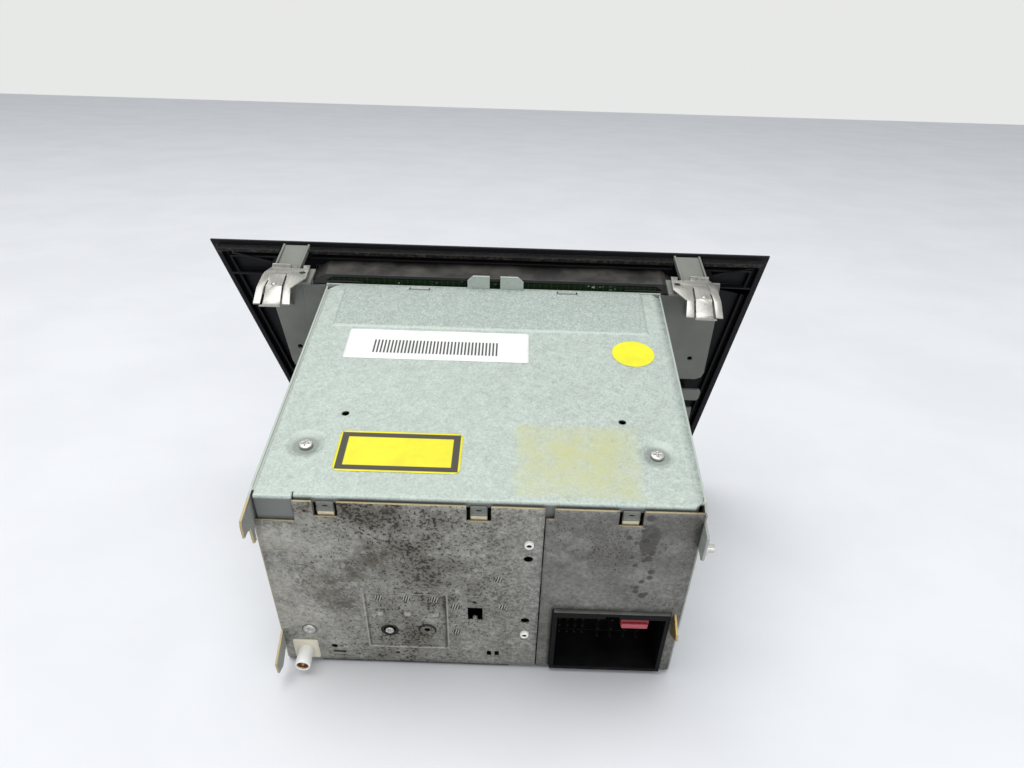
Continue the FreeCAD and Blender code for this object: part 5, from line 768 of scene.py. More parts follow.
# %% Pressed sheets
def line_set(low, high, step, fine):
    """Grid lines from low to high, a step apart.

    fine lists bands of closer lines, as (centre, half width, step), and single lines that must be kept."""
    kept = [float(f) for f in fine if not isinstance(f, tuple)] + [low, high]
    bands = [np.arange(c - h, c + h + 1e-6, s) for c, h, s in (f for f in fine if isinstance(f, tuple))]
    loose = np.unique(np.round(np.concatenate([np.arange(low, high, step)] + bands), 4))
    kept = np.unique(np.round(kept, 4))
    kept = kept[(kept >= low) & (kept <= high)]
    far = np.abs(loose[:, None] - kept[None, :]).min(1) > 0.16
    return np.sort(np.concatenate([kept, loose[far & (loose > low) & (loose < high)]]))


def step_up(value, low, high):
    """0 below low, 1 above high, and a smooth S between them."""
    t = np.clip((value - low) / (high - low), 0, 1)
    return t * t * (3 - 2 * t)


def plateau(u, v, box, soft):
    """1 inside a rectangle and 0 outside, with soft edges: the product of four smooth steps."""
    u0, u1, v0, v1 = box
    return (step_up(u, u0 - soft / 2, u0 + soft / 2) * (1 - step_up(u, u1 - soft / 2, u1 + soft / 2)) *
            step_up(v, v0 - soft / 2, v0 + soft / 2) * (1 - step_up(v, v1 - soft / 2, v1 + soft / 2)))


def pressed_sheet(us, vs, boxes, circles):
    """Grid coordinates and the faces that stay, for a sheet with rectangular and round holes."""
    u, v = np.meshgrid(us, vs, indexing="ij")
    faces = grid_faces(len(us), len(vs))
    cu, cv = u.ravel()[faces].mean(1), v.ravel()[faces].mean(1)
    gone = np.zeros(len(faces), bool)
    for u0, u1, v0, v1 in boxes:
        gone |= (cu > u0) & (cu < u1) & (cv > v0) & (cv < v1)
    fu, fv = u.ravel().copy(), v.ravel().copy()
    for c_u, c_v, r in circles:
        inside = np.hypot(cu - c_u, cv - c_v) < r
        rim = np.zeros(len(fu), bool)
        rim[np.intersect1d(faces[inside], faces[~inside])] = True
        away = np.hypot(fu - c_u, fv - c_v)
        scale = np.where(rim, r / np.maximum(away, 1e-6), 1.0)
        fu, fv = c_u + (fu - c_u) * scale, c_v + (fv - c_v) * scale
        gone |= inside
    return fu, fv, faces[~gone]


print("pressed-sheet helpers ready")

# %% [markdown]
# The cover's back edge is rolled down over the rear panels. Its grid is flat in X, and its second parameter
# is the length along the sheet: straight to the bend, a quarter circle round it, and straight down. So the
# sheet is drawn unrolled, with every hole in its place, and a function of two lines bends it.

# %% The bend of the cover
BOX_H = 110.0
BACK = 76.5             # Y of the outer face behind
BEND = 1.0              # radius
COVER_LIP = 12.9        # how far the rolled edge reaches down
TABS = (60.0, -0.5, -60.5)
LEFT, RIGHT, FRONT = 87.6, -88.9, -77.5     # X and Y limits
SCREW_X, SCREW_Y = 73.5, 47.1               # the two cover screws, at +X and -X
HOLE_X, HOLE_Y = 60.5, 27.2
STRIP_EDGE, STRIP_END = -39.8, 79.0         # rear edge and ends of the raised strip


def along_bend(v):
    """Flat to the bend, a quarter circle, then straight down: y and z of a length v measured from y = 0."""
    flat = BACK - BEND
    arc = BEND * math.pi / 2
    angle = np.clip((v - flat) / BEND, 0, math.pi / 2)
    y = np.where(v < flat, v, flat + BEND * np.sin(angle))
    z = BOX_H - BEND + BEND * np.cos(angle) - np.maximum(v - flat - arc, 0)
    return y, z


after_bend = BACK - BEND + BEND * math.pi / 2
end = round(after_bend + COVER_LIP - BEND, 3)
slot_top = after_bend + (BOX_H - BEND - 106.2)
print("unrolled length of the cover %.1f mm" % (end - FRONT))

# %% [markdown]
# The cover has a raised strip along the front, two conical dimples for its screws, two lanced slits, two
# round holes, and slots that set its three tabs free. Each of them is a term that is added to the height,
# or a hole in the grid. Three of its corners are cut off, which pushes the points near them inwards.

# %% Top cover
xs = line_set(RIGHT, LEFT, 4.0, [c + s * w for c in TABS for s in (-1, 1) for w in (3.4, 4.9)] +
              [72.1, 72.6, -STRIP_END, STRIP_END, (-SCREW_X, 9.0, 0.9), (SCREW_X, 9.0, 0.9),
               (HOLE_X, 2.2, 0.55), (-HOLE_X, 2.2, 0.55), -45.0, -34.0, 34.0, 45.0, (-STRIP_END, 1.2, 0.3),
               (STRIP_END, 1.2, 0.3)])
vs = line_set(FRONT, end, 4.0, [-76.9, -73.7, (STRIP_EDGE, 1.2, 0.3), (SCREW_Y, 9.0, 0.9),
                                (HOLE_Y, 2.2, 0.55), (76.0, 1.6, 0.25), slot_top])
slots = [(34, 45, -76.9, -73.7), (-45, -34, -76.9, -73.7), (72.1, 72.6, 74.0, 99.0)]
slots += [(c + s * 4.15 - 0.75, c + s * 4.15 + 0.75, slot_top, 99.0) for c in TABS for s in (-1, 1)]
fu, fv, faces = pressed_sheet(xs, vs, slots, [(HOLE_X, HOLE_Y, 1.7), (-HOLE_X, HOLE_Y, 1.7)])
y, z = along_bend(fv)
y = y + np.where((fu > 72.3) & (fv > 74.0), 1.0, 0.0) * step_up(fv, 74.0, 76.0)
for side in (-1, 1):
    reach = np.hypot(fu - side * SCREW_X, fv - SCREW_Y)
    z = z - 1.4 * (1 - step_up(reach, 4.6, 8.4)) + 0.12 * np.exp(-((reach - 9.0) / 1.2) ** 2)
z = z + 0.6 * plateau(fu, fv, (-STRIP_END, STRIP_END, -200.0, STRIP_EDGE), 1.4)
z = z + 0.10 * np.sin(fu / 31.0) * np.cos(fv / 27.0) * (fv < 70)
x = fu.copy()
for corner_x, corner_y, sx, sy in ((LEFT, FRONT, -1, 1), (RIGHT, FRONT, 1, 1), (RIGHT, BACK, 1, -1)):
    short = 4.0 - ((x - corner_x) * sx + (y - corner_y) * sy)
    push = np.where((short > 0) & (np.abs(x - corner_x) < 6) & (np.abs(y - corner_y) < 6), short / 2, 0)
    x, y = x + sx * push, y + sy * push
cover = piece_from("cover_sheet", np.column_stack([x, y, z]), faces, "case", cover_zinc)
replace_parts(thicken(cover, 0.9), "top_cover")
print("cover:", len(faces), "cells")

# %% [markdown]
# In each of the two slits at the cover's front lies a lance, a strip that the press has pushed down a
# little. Its depth follows a quarter of a sine, so it falls at once from the front edge and ends level,
# half a millimetre lower.

# %% Lances of the cover
for number, centre in enumerate((39.5, -39.5)):
    across = line_set(centre - 5.2, centre + 5.2, 1.7, [])
    depth = np.linspace(0.0, 1.0, 8)
    u, k = (grid.ravel() for grid in np.meshgrid(across, depth, indexing="ij"))
    points = np.column_stack([u, -76.2 + 1.9 * k, 109.55 - 0.5 * np.sin(k * math.pi / 2)])
    lance = piece_from("cover_lance_%d" % (number + 1), points, grid_faces(len(across), len(depth)), "case",
                       plate_zinc, turn_out=False)
    thicken(lance, 0.4)
print("lances made:", number + 1)

# %% [markdown]
# Three tabs of the cover drop into notches of the rear panels. Each is a narrow strip with a small slit,
# and its lower end curls outwards. Below it the panel has a short tongue that curls inwards; its pale
# cream is a painted highlight, for the light that its top catches. Both are strips along a profile in the YZ
# plane.

# %% Cover tabs and panel tongues
def strip(name, centre, half, profile, material, thickness, slit=None):
    """A profile of (y, z) points carried across X, from centre - half to centre + half, with its slit."""
    us = line_set(centre - half, centre + half, 0.85, [centre - 1.0, centre + 1.0])
    y, z = np.array(profile, float).T
    u, k = np.meshgrid(us, np.arange(len(y)), indexing="ij")
    faces = grid_faces(len(us), len(y))
    if slit:
        mid_u, mid_z = u.ravel()[faces].mean(1), z[k.ravel()][faces].mean(1)
        faces = faces[(np.abs(mid_u - centre) > 1.0) | (mid_z < slit[0]) | (mid_z > slit[1])]
    made = piece_from(name, np.column_stack([u.ravel(), y[k.ravel()], z[k.ravel()]]), faces, "case",
                      material, turn_out=False)
    return thicken(made, thickness)


TAB = [(76.9, 107.4), (77.25, 106.9), (77.35, 106.2), (77.35, 105.6), (77.35, 104.8), (77.4, 104.2),
       (77.55, 103.7), (77.8, 103.35), (78.1, 103.2)]
TONGUE = [(77.4, 99.9), (77.45, 100.8), (77.4, 101.6), (77.2, 102.2), (76.8, 102.6), (76.2, 102.75)]
for number, centre in enumerate(TABS):
    strip("cover_tab_%d" % (number + 1), centre, 3.4, TAB[::-1], tab_zinc, 0.6, (104.8, 105.6))
    strip("panel_tongue_%d" % (number + 1), centre, 3.3, TONGUE,
          tongue_highlight_zinc, 0.6)
print("tabs and tongues made:", 2 * len(TABS))

# %% [markdown]
# The rear panel carries most of the pressed detail: a shallow recess with six small dimples, an eyelet,
# lances, twin slots, a U-shaped opening and a scatter of little holes round the aerial socket. Round holes
# are centres and radii, and square cut-outs are limits in X and Z. The grid's lines are fine near each of
# them and coarse between.

# %% Cut-outs of the rear panel
REAR = 77.5
PANEL_TOP = 108.4
AERIAL = (79.7, 9.2)
HOLES = [(66.6, 11.4, 1.6), (63.2, 11.4, 0.8), (61.2, 12.6, 0.6), (37.5, 7.6, 1.1), (68.3, 102.5, 1.1),
         (*AERIAL, 3.7), (-20.9, 77.9, 2.0), (-20.9, 35.7, 2.0), (*EYELET, 1.7), (*SUNK_SCREW, 2.6)]
NICKS = [(68.3, 102.5), (-8.8, 102.5)]
CUTS = [(72.6, 90.0, 97.0, 110.0), (55.1, 64.9, 100.2, 110.0), (-5.4, 4.4, 100.2, 110.0),
        (0.7, 2.3, 47.0, 48.6), (-2.0, 0.3, 34.9, 44.0), (2.2, 4.5, 34.9, 44.0), (0.3, 2.2, 37.6, 44.0),
        (-9.6, -7.6, 7.6, 11.5), (-6.0, -4.0, 7.6, 11.5), (61.5, 67.5, 6.1, 8.0)]
us = line_set(-26.55, 89.0, 4.0, [c for cut in CUTS for c in cut[:2]] +
              [(h[0], h[2] * 1.5, h[2] / 3) for h in HOLES] + [(x, 2.4, 0.8) for x in (43.6, 31.4, 19.1)] +
              [(x, 2.4, 0.8) for x, z in LANCES] + [(x, 1.8, 0.6) for x, z in NICKS] +
              [(13.5, 0.6, 0.3), (50.0, 0.6, 0.3), (40.1, 5.0, 0.625), (23.0, 5.0, 0.625),
               (76.6, 6.0, 1.0)])
zs = line_set(1.0, PANEL_TOP, 4.0, [c for cut in CUTS for c in cut[2:]] +
              [(h[1], h[2] * 1.5, h[2] / 3) for h in HOLES] + [(z, 2.4, 0.8) for z in (48.3, 37.3)] +
              [(z, 2.4, 0.8) for x, z in LANCES] + [(12.5, 0.6, 0.3), (52.0, 0.6, 0.3), (25.2, 5.6, 0.7),
                                                    (102.5, 1.8, 0.6)])
print("rear panel:", len(HOLES), "round holes,", len(CUTS), "square cut-outs")

# %% [markdown]
# Now the press works on the flat sheet. The recess is a plateau pushed in by 0.6 mm. A dimple or a lance is
# a small round window that holds a ripple. The eyelet's collar is a bell curve of the distance, with a
# groove round it. The sheet looks along +Y, so its faces are turned over.

# %% Rear panel
fu, fv, faces = pressed_sheet(us, zs, CUTS, HOLES)
y = np.full(len(fu), REAR) - 0.6 * plateau(fu, fv, RECESS, 0.5)
for dx, dz in DIMPLES:
    away = np.hypot(fu - dx, fv - dz)
    ridges = np.sin((fu - dx) * 4.2 + (fv - dz) * (2.6 if dz > 40 else 0.8))
    y = y + (0.30 + 0.22 * ridges) * (1 - step_up(away, 1.5, 2.1))
    y = y - 0.25 * np.exp(-((away - 2.3) / 0.3) ** 2)
for dx, dz in LANCES:
    away = np.hypot(fu - dx, (fv - dz) * 1.2)
    y = y + (0.25 + 0.28 * np.sin((fu - dx) * 4.4)) * (1 - step_up(away, 1.4, 2.3))
for dx, dz in NICKS:
    y = y - 0.9 * (1 - step_up(np.hypot(fu - dx, fv - dz), 0.5, 1.5)) * (fv < dz + 0.4)
for (dx, dz), lift in ((EYELET, 0.9), (SUNK_SCREW, -0.4)):
    away = np.hypot(fu - dx, fv - dz)
    y = y + lift * np.exp(-((away - 2.8) / 0.7) ** 2)
    y = y - 0.35 * np.exp(-((away - 3.8) / 0.4) ** 2) + 0.15 * np.exp(-((away - 4.9) / 0.5) ** 2)
around = np.hypot(fu - AERIAL_SCREW[0], (fv - AERIAL_SCREW[1]) * 0.85)
y = y - 0.6 * (1 - step_up(around, 3.2, 6.0))
panel = piece_from("rear_panel_sheet", np.column_stack([fu, y, fv]), faces[:, ::-1], "case",
                   rear_zinc, turn_out=False)
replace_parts(thicken(panel, 0.95), "rear_panel")
print("rear panel:", len(faces), "cells")

# %% [markdown]
# The amplifier's panel stands beside it, to the right as the camera sees it. It has only the bay for the
# power header, a notch for the third tab, a step at its inner corner and three shallow marks, and it isn't
# quite flat.

# %% Amplifier panel
AMP_CUTS = [(-30.3, -26.0, 102.6, 110.0), (-65.4, -55.6, 100.2, 110.0), (-84.7, -32.8, 0.0, 45.2)]
MARKS = [(-45.0, 84.0), (-66.5, 84.0), (-43.5, 62.0)]
us = line_set(-89.0, -27.05, 4.0, [-84.7, -32.8, -65.4, -55.6, -30.3] + [(x, 2.4, 0.5) for x, z in MARKS])
zs = line_set(1.0, PANEL_TOP, 4.0, [45.2, 100.2, 102.6] + [(z, 2.4, 0.5) for x, z in MARKS])
fu, fv, faces = pressed_sheet(us, zs, AMP_CUTS, [])
y = np.full(len(fu), REAR)
for dx, dz in MARKS:
    y = y + 0.3 * (1 - step_up(np.hypot(fu - dx, (fv - dz) * 1.3), 1.2, 2.2))
y = y + 0.08 * np.sin(fu / 17.0) * np.sin(fv / 23.0)
amp = piece_from("amplifier_panel_sheet", np.column_stack([fu, y, fv]), faces[:, ::-1], "case",
                 amp_zinc, turn_out=False)
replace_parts(thicken(amp, 0.95), "amplifier_panel")
print("amplifier panel:", len(faces), "cells")

# %% [markdown]
# The ear beside the bay is a small cut plate, bent out of the panel, with the gold of its passivation. A
# plate is one polygon in a plane, given a thickness and small rounds.

# %% Gold ear
def plate(name, outline, plane_x, thickness, material):
    """A flat polygon in the YZ plane at plane_x, as thick as asked for, towards -X."""
    points = np.array([(plane_x, y, z) for y, z in outline])
    made = piece_from(name, points, [list(range(len(points)))], "case", material, turn_out=False)
    if made.data.polygons[0].normal.x < 0:
        made.data.flip_normals()
    return round_edges(thicken(made, thickness), 0.12)


gold_steel = metal("passivated steel", (0.50, 0.37, 0.17), 0.42, (1, 1, 1), 500.0, 0.1, (0.12, 0.08, 0.04),
                   0.55)
plate("panel_ear", [(77.0, 44.5), (87.0, 41.0), (88.0, 38.0), (80.0, 31.0), (77.0, 31.0)], -86.1, 1.0,
      gold_steel)
print("ear made")

# %% [markdown]
# Round things are profiles carried round an axis. The lathe below takes radius and height pairs and a
# number of steps; poles with no radius weld shut. A second function turns what was made along Z to look
# along Y, and moves it.

# %% Lathe
def lathe(profile, steps):
    """Points radius*cos, radius*sin, height for every profile point and angle; faces join neighbours."""
    r, h = np.array(profile, float).T
    angle = 2 * math.pi * np.arange(steps) / steps
    points = np.stack([r[:, None] * np.cos(angle), r[:, None] * np.sin(angle), h[:, None] + 0 * angle], -1)
    return points.reshape(-1, 3), grid_faces(len(profile), steps, wrap=True)


def aim(points, axis, at):
    """Points made along Z, turned to look along +Y or left along +Z, and moved to a place."""
    x, y, z = points.T
    turned = np.column_stack([x, z, -y]) if axis == "y" else points
    return turned + np.array(at, float)


print("lathe ready")

# %% [markdown]
# A pan head is a shallow dome with a rounded rim. Its cross is pressed in: the height drops wherever a
# point lies under one of two crossed bars, and a smooth step at the bars' edges gives the slope of their
# walls.

# %% Screw heads
def screw_head(radius, height):
    """A domed head on a grid of radius and angle: height * (1 - 0.22 * (r / radius)^2), and a rounded rim.

    The cross is two bars about 0.8 mm wide and 3.2 mm long, pressed in by 0.9 mm."""
    curl = np.linspace(0.3, 1.57, 5)
    rings = np.concatenate([np.linspace(0, radius - 0.5, 16), radius - 0.5 + 0.5 * np.sin(curl)])
    tops = height * (1 - 0.22 * (rings / radius) ** 2)
    tops[-5:] = tops[-6] - 0.5 * (1 - np.cos(curl))
    profile = list(zip(rings, tops)) + [(radius, 0.0), (0.0, 0.0)]
    points, faces = lathe(profile, 64)
    x, y, z = points.T
    deep = 0.9 * np.minimum(1, np.maximum((1 - step_up(np.abs(x), 0.28, 0.5)) *
                                          (1 - step_up(np.abs(y), 1.3, 1.8)),
                                          (1 - step_up(np.abs(y), 0.28, 0.5)) *
                                          (1 - step_up(np.abs(x), 1.3, 1.8))))
    top = z > 0.05
    points[:, 2] = np.where(top, z - deep, z)
    return points, faces


SCREWS = [("z", (side * SCREW_X, SCREW_Y, 108.6), 2.9) for side in (1, -1)]
SCREWS += [("y", (AERIAL_SCREW[0], 77.3, AERIAL_SCREW[1]), 2.9),
           ("y", (SUNK_SCREW[0], 76.9, SUNK_SCREW[1]), 2.0)]
SCREWS += [("y", (side * 93.0, -77.5, height), 2.8) for side in (-1, 1) for height in (26.0, 84.0)]
for number, (axis, at, radius) in enumerate(SCREWS):
    points, faces = screw_head(radius, 1.8)
    head = piece_from("screw_head_%d" % (number + 1), aim(points, axis, at), faces, "case",
                      screw_steel)
    if number == 0:
        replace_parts(head, "case_screws")
print("screw heads made:", len(SCREWS))

# %% [markdown]
# Two white nylon rivets stand on the rear panel near the seam. Each has a rounded collar round a hole,
# and the hole's dark is painted shade: a second, black profile just inside the first.

# %% Rivets
for number, z in enumerate((87.7, 26.3)):
    rim = [(0.0, 0.5), (1.05, 0.5), (1.1, 2.2), (1.25, 2.55), (1.45, 2.6), (1.75, 2.4), (1.95, 1.9),
           (2.0, 0.0), (0.0, 0.0)]
    points, faces = lathe(rim, 40)
    rivet = piece_from("rear_rivet_%d" % (number + 1), aim(points, "y", (-20.9, REAR, z)), faces, "case",
                       nylon_white)
    # Painted shade: a black plug fills each rivet's hole just inside its collar.
    points, faces = lathe([(0.0, 2.0), (0.7, 2.0), (1.06, 1.9), (1.06, 0.6), (0.0, 0.6)], 32)
    piece_from("rivet_hole_shade_%d" % (number + 1), aim(points, "y", (-20.9, REAR, z)), faces, "case",
               felt_and_shade_black)
    if number == 0:
        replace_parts(rivet, "rear_pins")
print("rivets made:", number + 1)

# %% [markdown]
# The aerial socket has three materials: a cream body whose plate lies on the panel, a white barrel, and a
# copper-brown sleeve and core just inside its open end. Three lathe profiles make the round ones.

# %% Barrel of the aerial socket
barrel = [(3.2, 1.4), (3.5, 1.6), (3.45, 10.1), (3.3, 10.5), (2.85, 10.5), (2.8, 10.0)]
points, faces = lathe([(0.0, 1.4)] + barrel + [(2.8, 5.0), (0.0, 5.0)], 48)
piece_from("aerial_barrel", aim(points, "y", (AERIAL[0], REAR, AERIAL[1])), faces, "case",
           aerial_white)
sleeve = [(2.78, 5.2), (2.78, 10.0), (2.6, 10.15), (2.3, 10.1), (2.25, 9.6), (2.25, 5.2)]
points, faces = lathe(sleeve + sleeve[:1], 48)
piece_from("aerial_sleeve", aim(points, "y", (AERIAL[0], REAR, AERIAL[1])), faces, "case",
           copper)
core = [(0.0, 5.1), (2.26, 5.1), (2.26, 9.3), (0.75, 9.4), (0.6, 9.9), (0.45, 10.1), (0.0, 10.15)]
points, faces = lathe(core, 32)
piece_from("aerial_core", aim(points, "y", (AERIAL[0], REAR, AERIAL[1])), faces, "case",
           copper)
print("aerial barrel made")

# %% [markdown]
# Small moulded blocks have round corners and a soft front edge. Four quarter circles make the outline, and
# copies of it are stacked along Y: the last ones shrink as a quarter circle does, and the first and last
# shrink to a point.

# %% Body of the aerial socket
def rounded_outline(half_u, half_v, corner, steps):
    """A rectangle whose corners are quarter circles: each point is a centre + corner * (cos, sin)."""
    quarter = np.linspace(0, math.pi / 2, steps)
    ring = []
    for number, (side_u, side_v) in enumerate(((1, 1), (-1, 1), (-1, -1), (1, -1))):
        angle = quarter + number * math.pi / 2
        ring.append(np.column_stack([side_u * (half_u - corner) + corner * np.cos(angle), side_v *
                                     (half_v - corner) + corner * np.sin(angle)]))
    return np.concatenate(ring)


def pillow_block(low, high, corner):
    """A block whose outline has quarter circles at its corners, carried along Y to a soft front edge."""
    cx, cz = (low[0] + high[0]) / 2, (low[2] + high[2]) / 2
    hx, hz = (high[0] - low[0]) / 2, (high[2] - low[2]) / 2
    ring = rounded_outline(hx, hz, corner, 12)
    soft = min(0.4, corner)
    layers = [(0.0, low[1]), (1.0, low[1]), (1.0, high[1] - soft)]
    for t in (0.5, 1.0, 1.57):
        layers.append((1.0 - soft * (1 - math.cos(t)) / hx, high[1] - soft + soft * math.sin(t)))
    layers.append((0.0, high[1]))
    points = []
    for k, y in layers:
        points.append(np.column_stack([cx + ring[:, 0] * k, np.full(len(ring), y), cz + ring[:, 1] * k]))
    return np.concatenate(points), grid_faces(len(layers), len(ring), wrap=True)


points, faces = pillow_block((73.9, 77.5, 2.3), (85.5, 79.0, 16.0), 1.0)
piece_from("aerial_plate", points, faces, "case", aerial_cream)
points, faces = pillow_block((74.5, 63.5, 3.0), (84.9, 76.5, 15.5), 0.6)
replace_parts(piece_from("aerial_body", points, faces, "case", aerial_cream),
            "aerial_socket")
print("aerial socket made")

# %% [markdown]
# The power header is a deep black shroud, darker than the other plastics as painted shade for its deep
# inside, and its rim has a painted highlight that is partly dust. The red blade fuse in it is a plain block
# with rounded corners and a raised pull bar, and it carries no figures.

# %% Power header and fuse
softened("power_header", 0.25, header_black)
points, faces = pillow_block((-84.3, 77.6, 44.4), (-33.2, 80.2, 45.1), 0.3)
piece_from("header_lip", points, faces, "case", header_rim_highlight)
fuse_red = plastic("fuse red", (0.20, 0.005, 0.010), 0.30, 900.0, 0.04, 0.1, (0.3, 0.05, 0.05, 1),
                   Coat_Weight=0.3)
fuse_pale = plastic("fuse bar", (0.46, 0.085, 0.11), 0.45, 900.0, 0.04, 0.1, (0.6, 0.3, 0.3, 1))
points, faces = pillow_block((-77.0, 64.0, 28.0), (-64.2, 74.6, 37.2), 0.9)
piece_from("fuse_body", points, faces, "case", fuse_red)
points, faces = pillow_block((-76.6, 74.2, 28.2), (-64.6, 75.4, 31.2), 0.6)
piece_from("fuse_bar", points, faces, "case", fuse_pale)
print("header and fuse made")

# %% [markdown]
# Stickers are thin sheets with round corners. They lie just above the zinc and follow the cover's slight
# waves. Shrunken copies of the outline make the grid. The UV map is worked out from the place in the
# sticker's own frame, and runs from 0 to 1 across it.

# %% Sticker sheets
def sticker(name, centre, size, corner, material):
    """A rounded rectangle on the cover: a polar grid from its centre to its outline, lifted at the rim."""
    ring = rounded_outline(size[0] / 2, size[1] / 2, corner, 9)
    share = np.array([0.0, 0.4, 0.7, 0.9, 0.97, 1.0])
    x, y = (share[:, None, None] * ring[None]).reshape(-1, 2).T + np.array([centre]).T
    rim = np.repeat(share, len(ring))
    lift = 0.14 + 0.10 * np.sin(x / 31.0) * np.cos(y / 27.0) + 0.05 * step_up(rim, 0.9, 1.0)
    points = np.column_stack([x, y, BOX_H + lift])
    made = piece_from(name, points, grid_faces(len(share), len(ring), wrap=True), "case",
                      material)
    layer = made.data.uv_layers.new(name="sticker")
    vertex = np.zeros(len(made.data.loops), int)
    made.data.loops.foreach_get("vertex_index", vertex)
    co = np.zeros(len(made.data.vertices) * 3)
    made.data.vertices.foreach_get("co", co)
    place = co.reshape(-1, 3)[vertex, :2] / MM - np.array(centre)
    uv = place / np.array(size) + 0.5
    layer.data.foreach_set("uv", uv.astype(np.float32).ravel())
    return thicken(made, 0.08)


print("sticker function ready")

# %% [markdown]
# Paper and film share one start: a faint fibre in the bump and a slow soiling of the colour. A print is
# then mixed in where the UV coordinates lie between limits, and a band function gives such a stretch soft
# ends.

# %% Paper and film
def paper(name, color, rough):
    """Printed paper or film: faint fibre, slight soiling; returns the parts that a print is mixed into."""
    material, tree, shader, coords = start(name, 0.0, Coat_Weight=0.15)
    fibre = noise(tree, coords, 900.0, 4.0, 0.6)
    soil = noise(tree, coords, 70.0, 5.0, 0.6)
    tone = blend_colours(tree, ramp(tree, soil, 0.35, 0.8), (*color, 1), (*[c * 0.84 for c in color], 1))
    finish_with(tree, shader, tone, rough, fibre, 0.05, 0.00003)
    uv = axes(tree, add(tree, "ShaderNodeTexCoord").outputs["UV"])
    return material, tree, shader, tone, uv


def band(tree, value, low, high, soft):
    """1 where a value lies between two limits."""
    return times(tree, ramp(tree, value, low - soft, low + soft),
                 ramp(tree, value, high + soft, high - soft))


print("paper functions ready")

# %% [markdown]
# Three stickers lie on the cover. The white one has a block of even bars, which a sine makes from U. The
# yellow one has a dark frame, which is one rectangle less a smaller one. The dot is plain. None carries a
# word or a figure.

# %% The three stickers
white_sticker, tree, shader, tone, uv = paper("white sticker", (0.78, 0.79, 0.77), 0.42)
stripes = ramp(tree, maths(tree, "SINE", times(tree, uv[0], 330.0)), -0.2, 0.2)
area = times(tree, band(tree, uv[0], 0.17, 0.85, 0.002), band(tree, uv[1], 0.36, 0.80, 0.01))
printed = blend_colours(tree, times(tree, stripes, area), tone, (0.05, 0.05, 0.05, 1))
tree.links.new(printed, shader.inputs["Base Color"])
yellow_sticker, tree, shader, tone, uv = paper("yellow sticker", (0.76, 0.70, 0.008), 0.40)
field = times(tree, band(tree, uv[0], 0.075, 0.925, 0.004), band(tree, uv[1], 0.15, 0.85, 0.008))
whole = times(tree, band(tree, uv[0], 0.018, 0.982, 0.004), band(tree, uv[1], 0.04, 0.96, 0.008))
framed = blend_colours(tree, minus(tree, whole, field, clamp=True), tone, (0.035, 0.028, 0.018, 1))
tree.links.new(framed, shader.inputs["Base Color"])
dot_yellow = paper("yellow dot", (0.78, 0.74, 0.006), 0.42)[0]
sticker("sticker_white", (25.1, -25.0), (89.0, 24.0), 1.2, white_sticker)
sticker("sticker_yellow", (34.0, 50.5), (52.0, 24.0), 2.6, yellow_sticker)
sticker("sticker_dot", (-70.0, -23.2), (20.6, 20.6), 10.2, dot_yellow)
print("stickers made")

# %% [markdown]
# The spring clips are bright, thin and strongly bent, so they read at once as steel. Their CAD shape is
# finished with a small round. The rest of the steel and the moulded parts get the same treatment with
# rounds that suit their wall.

# %% Finish the visible nodes
for side in ("right", "left"):
    softened("spring_clip_" + side, 0.10, clip_steel, curved=True)
for node, width, material in (("bottom_cover", 0.15, base_zinc), ("right_side_wall", 0.12, wall_zinc),
                              ("left_side_wall", 0.12, wall_zinc), ("front_plate", 0.12, plate_zinc),
                              ("fascia", 0.3, fascia_black), ("inner_frame", 0.3, frame_black),
                              ("carrier", 0.25, carrier_grey), ("trim_panel", 0.25, trim_gloss),
                              ("front_board", 0.08, front_green), ("guide_stud", 0.2, plated),
                              ("display_lens", 0.15, window_glass), ("volume_knob", 0.2, knob_black),
                              ("tune_knob", 0.2, knob_black), ("source_button", 0.15, button_black),
                              ("menu_button", 0.15, button_black), ("eject_button", 0.15, button_black),
                              ("preset_rocker_1_2", 0.15, button_black),
                              ("preset_rocker_3_4", 0.15, button_black),
                              ("preset_rocker_5_6", 0.15, button_black)):
    softened(node, width, material, curved=node in ("guide_stud", "volume_knob", "tune_knob"))
print("visible nodes finished")

# %% [markdown]
# Inside, every node keeps its CAD shape and only needs its finish. One table gives each its material.

# %% Finishes of the inner nodes
INSIDE = {"case_screws": screw_steel, "rear_pins": nylon_white, "header_contacts": contact_in_shade,
          "main_board": main_green, "amplifier_chip": chip_black, "capacitors": sleeve_blue,
          "tuner_can": tin, "mech_frame": inner_zinc, "damper_bushes": rubber_black,
          "player_deck": inner_zinc, "spindle_motor": plated, "turntable": button_black,
          "clamp_arm": inner_zinc, "clamp_puck": nylon_white, "mode_slider": inner_zinc,
          "roller_bracket": inner_zinc, "loading_roller": roller_grey, "roller_shaft": turned_alloy,
          "idler_gear": gear_white, "loading_motor": plated, "motor_pinion": brass,
          "laser_sled": cast_alloy, "lens_holder": chip_black, "objective_lens": lens_glass,
          "guide_rods": turned_alloy, "sled_gear": gear_white, "sled_motor": plated,
          "sled_pinion": gear_white, "display_module": header_black, "slot_seal": felt_and_shade_black,
          "tact_switches": chip_black, "encoders": tin, "volume_shaft": turned_alloy,
          "tune_shaft": turned_alloy, "top_cover": cover_zinc, "rear_panel": rear_zinc,
          "amplifier_panel": amp_zinc, "aerial_socket": aerial_cream}
for node, material in INSIDE.items():
    mesh = frame["nodes"][node].data
    if not mesh.materials:
        mesh.materials.append(material)
    for index in range(len(mesh.materials)):
        mesh.materials[index] = material
shown = [n for n, o in frame["nodes"].items() if not o.hide_render]
print("CAD nodes shown:", len(shown), "without a finish:", sorted(set(shown) - set(INSIDE)))

# %% [markdown]
# The unit rests on the fascia's lower edge and the box's rear edge, so in the box's own frame the floor
# slopes. The floor is plain and pale, with a slow, faint mottling.

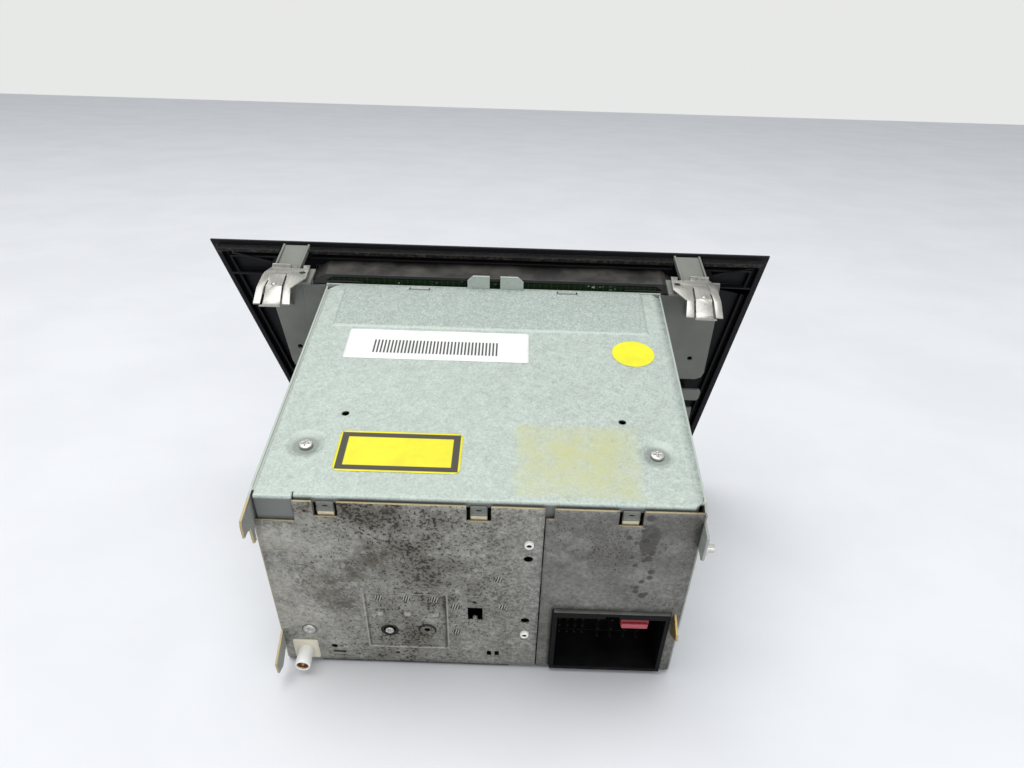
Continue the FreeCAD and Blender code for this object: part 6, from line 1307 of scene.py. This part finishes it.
# %% Floor
FLOOR_LEVEL = -0.0232       # metres, at FLOOR_MIDDLE
FLOOR_SLOPE = 0.2743        # metres of height per metre of Y
FLOOR_MIDDLE = -0.0025      # metres of Y
span = np.linspace(-3.0, 3.0, 13)
fx, fy = (grid.ravel() for grid in np.meshgrid(span, span, indexing="ij"))
floor_points = np.column_stack([fx, fy, FLOOR_LEVEL + FLOOR_SLOPE * (fy - FLOOR_MIDDLE)])
floor_mesh = bpy.data.meshes.new("floor")
floor_mesh.from_pydata(floor_points.tolist(), [], grid_faces(len(span), len(span)).tolist())
floor = bpy.data.objects.new("floor", floor_mesh)
bpy.context.scene.collection.objects.link(floor)
floor_paint, tree, shader, coords = start("floor paint", 0.0)
mottled = ramp(tree, noise(tree, coords, 9.0, 4.0), 0.3, 0.7)
tone = blend_colours(tree, mottled, (0.70, 0.71, 0.74, 1), (0.74, 0.75, 0.78, 1))
finish_with(tree, shader, tone, 0.62)
floor_mesh.materials.append(floor_paint)
print("floor made")

# %% [markdown]
# A wide soft lamp overhead and a weaker fill from behind the camera give the even light of a studio. The
# world does two jobs: it adds a little light from all sides, and where the camera, a reflection or a clear
# part looks past the floor, it shows a pale backdrop instead.

# %% Light and backdrop
def lamp(name, place, target, size, power, color=(1, 1, 1)):
    """A square area lamp that looks from a place towards a target, in metres."""
    data = bpy.data.lights.new(name, "AREA")
    data.size, data.energy, data.color = size, power, color
    made = bpy.data.objects.new(name, data)
    made.matrix_world = (Matrix.Translation(Vector(place)) @
                         (Vector(target) - Vector(place)).to_track_quat("-Z", "Y").to_matrix().to_4x4())
    bpy.context.scene.collection.objects.link(made)
    return made


world = bpy.data.worlds.new("studio")
world.use_nodes = True
tree = world.node_tree
lighting = tree.nodes["Background"]
lighting.inputs["Color"].default_value = (0.90, 0.93, 0.96, 1)
lighting.inputs["Strength"].default_value = 0.6
backdrop = add(tree, "ShaderNodeBackground", {"Color": (0.80, 0.81, 0.80, 1), "Strength": 1.0})
rays = add(tree, "ShaderNodeLightPath").outputs
seen = larger(tree, rays["Is Camera Ray"], larger(tree, rays["Is Glossy Ray"], rays["Is Transmission Ray"]))
both = add(tree, "ShaderNodeMixShader", {0: seen, 1: lighting.outputs[0], 2: backdrop.outputs[0]})
tree.links.new(both.outputs[0], tree.nodes["World Output"].inputs["Surface"])
bpy.context.scene.world = world
lamp("overhead", (0.35, -0.25, 2.1), (0, 0.0, 0.05), 1.9, 39.0, (1.0, 0.99, 0.97))
lamp("fill", (-1.0, 1.9, 1.5), (0, 0, 0.05), 1.5, 17.0, (0.96, 0.98, 1.0))
bpy.context.scene.view_settings.view_transform = "Standard"
print("lamps and backdrop made")
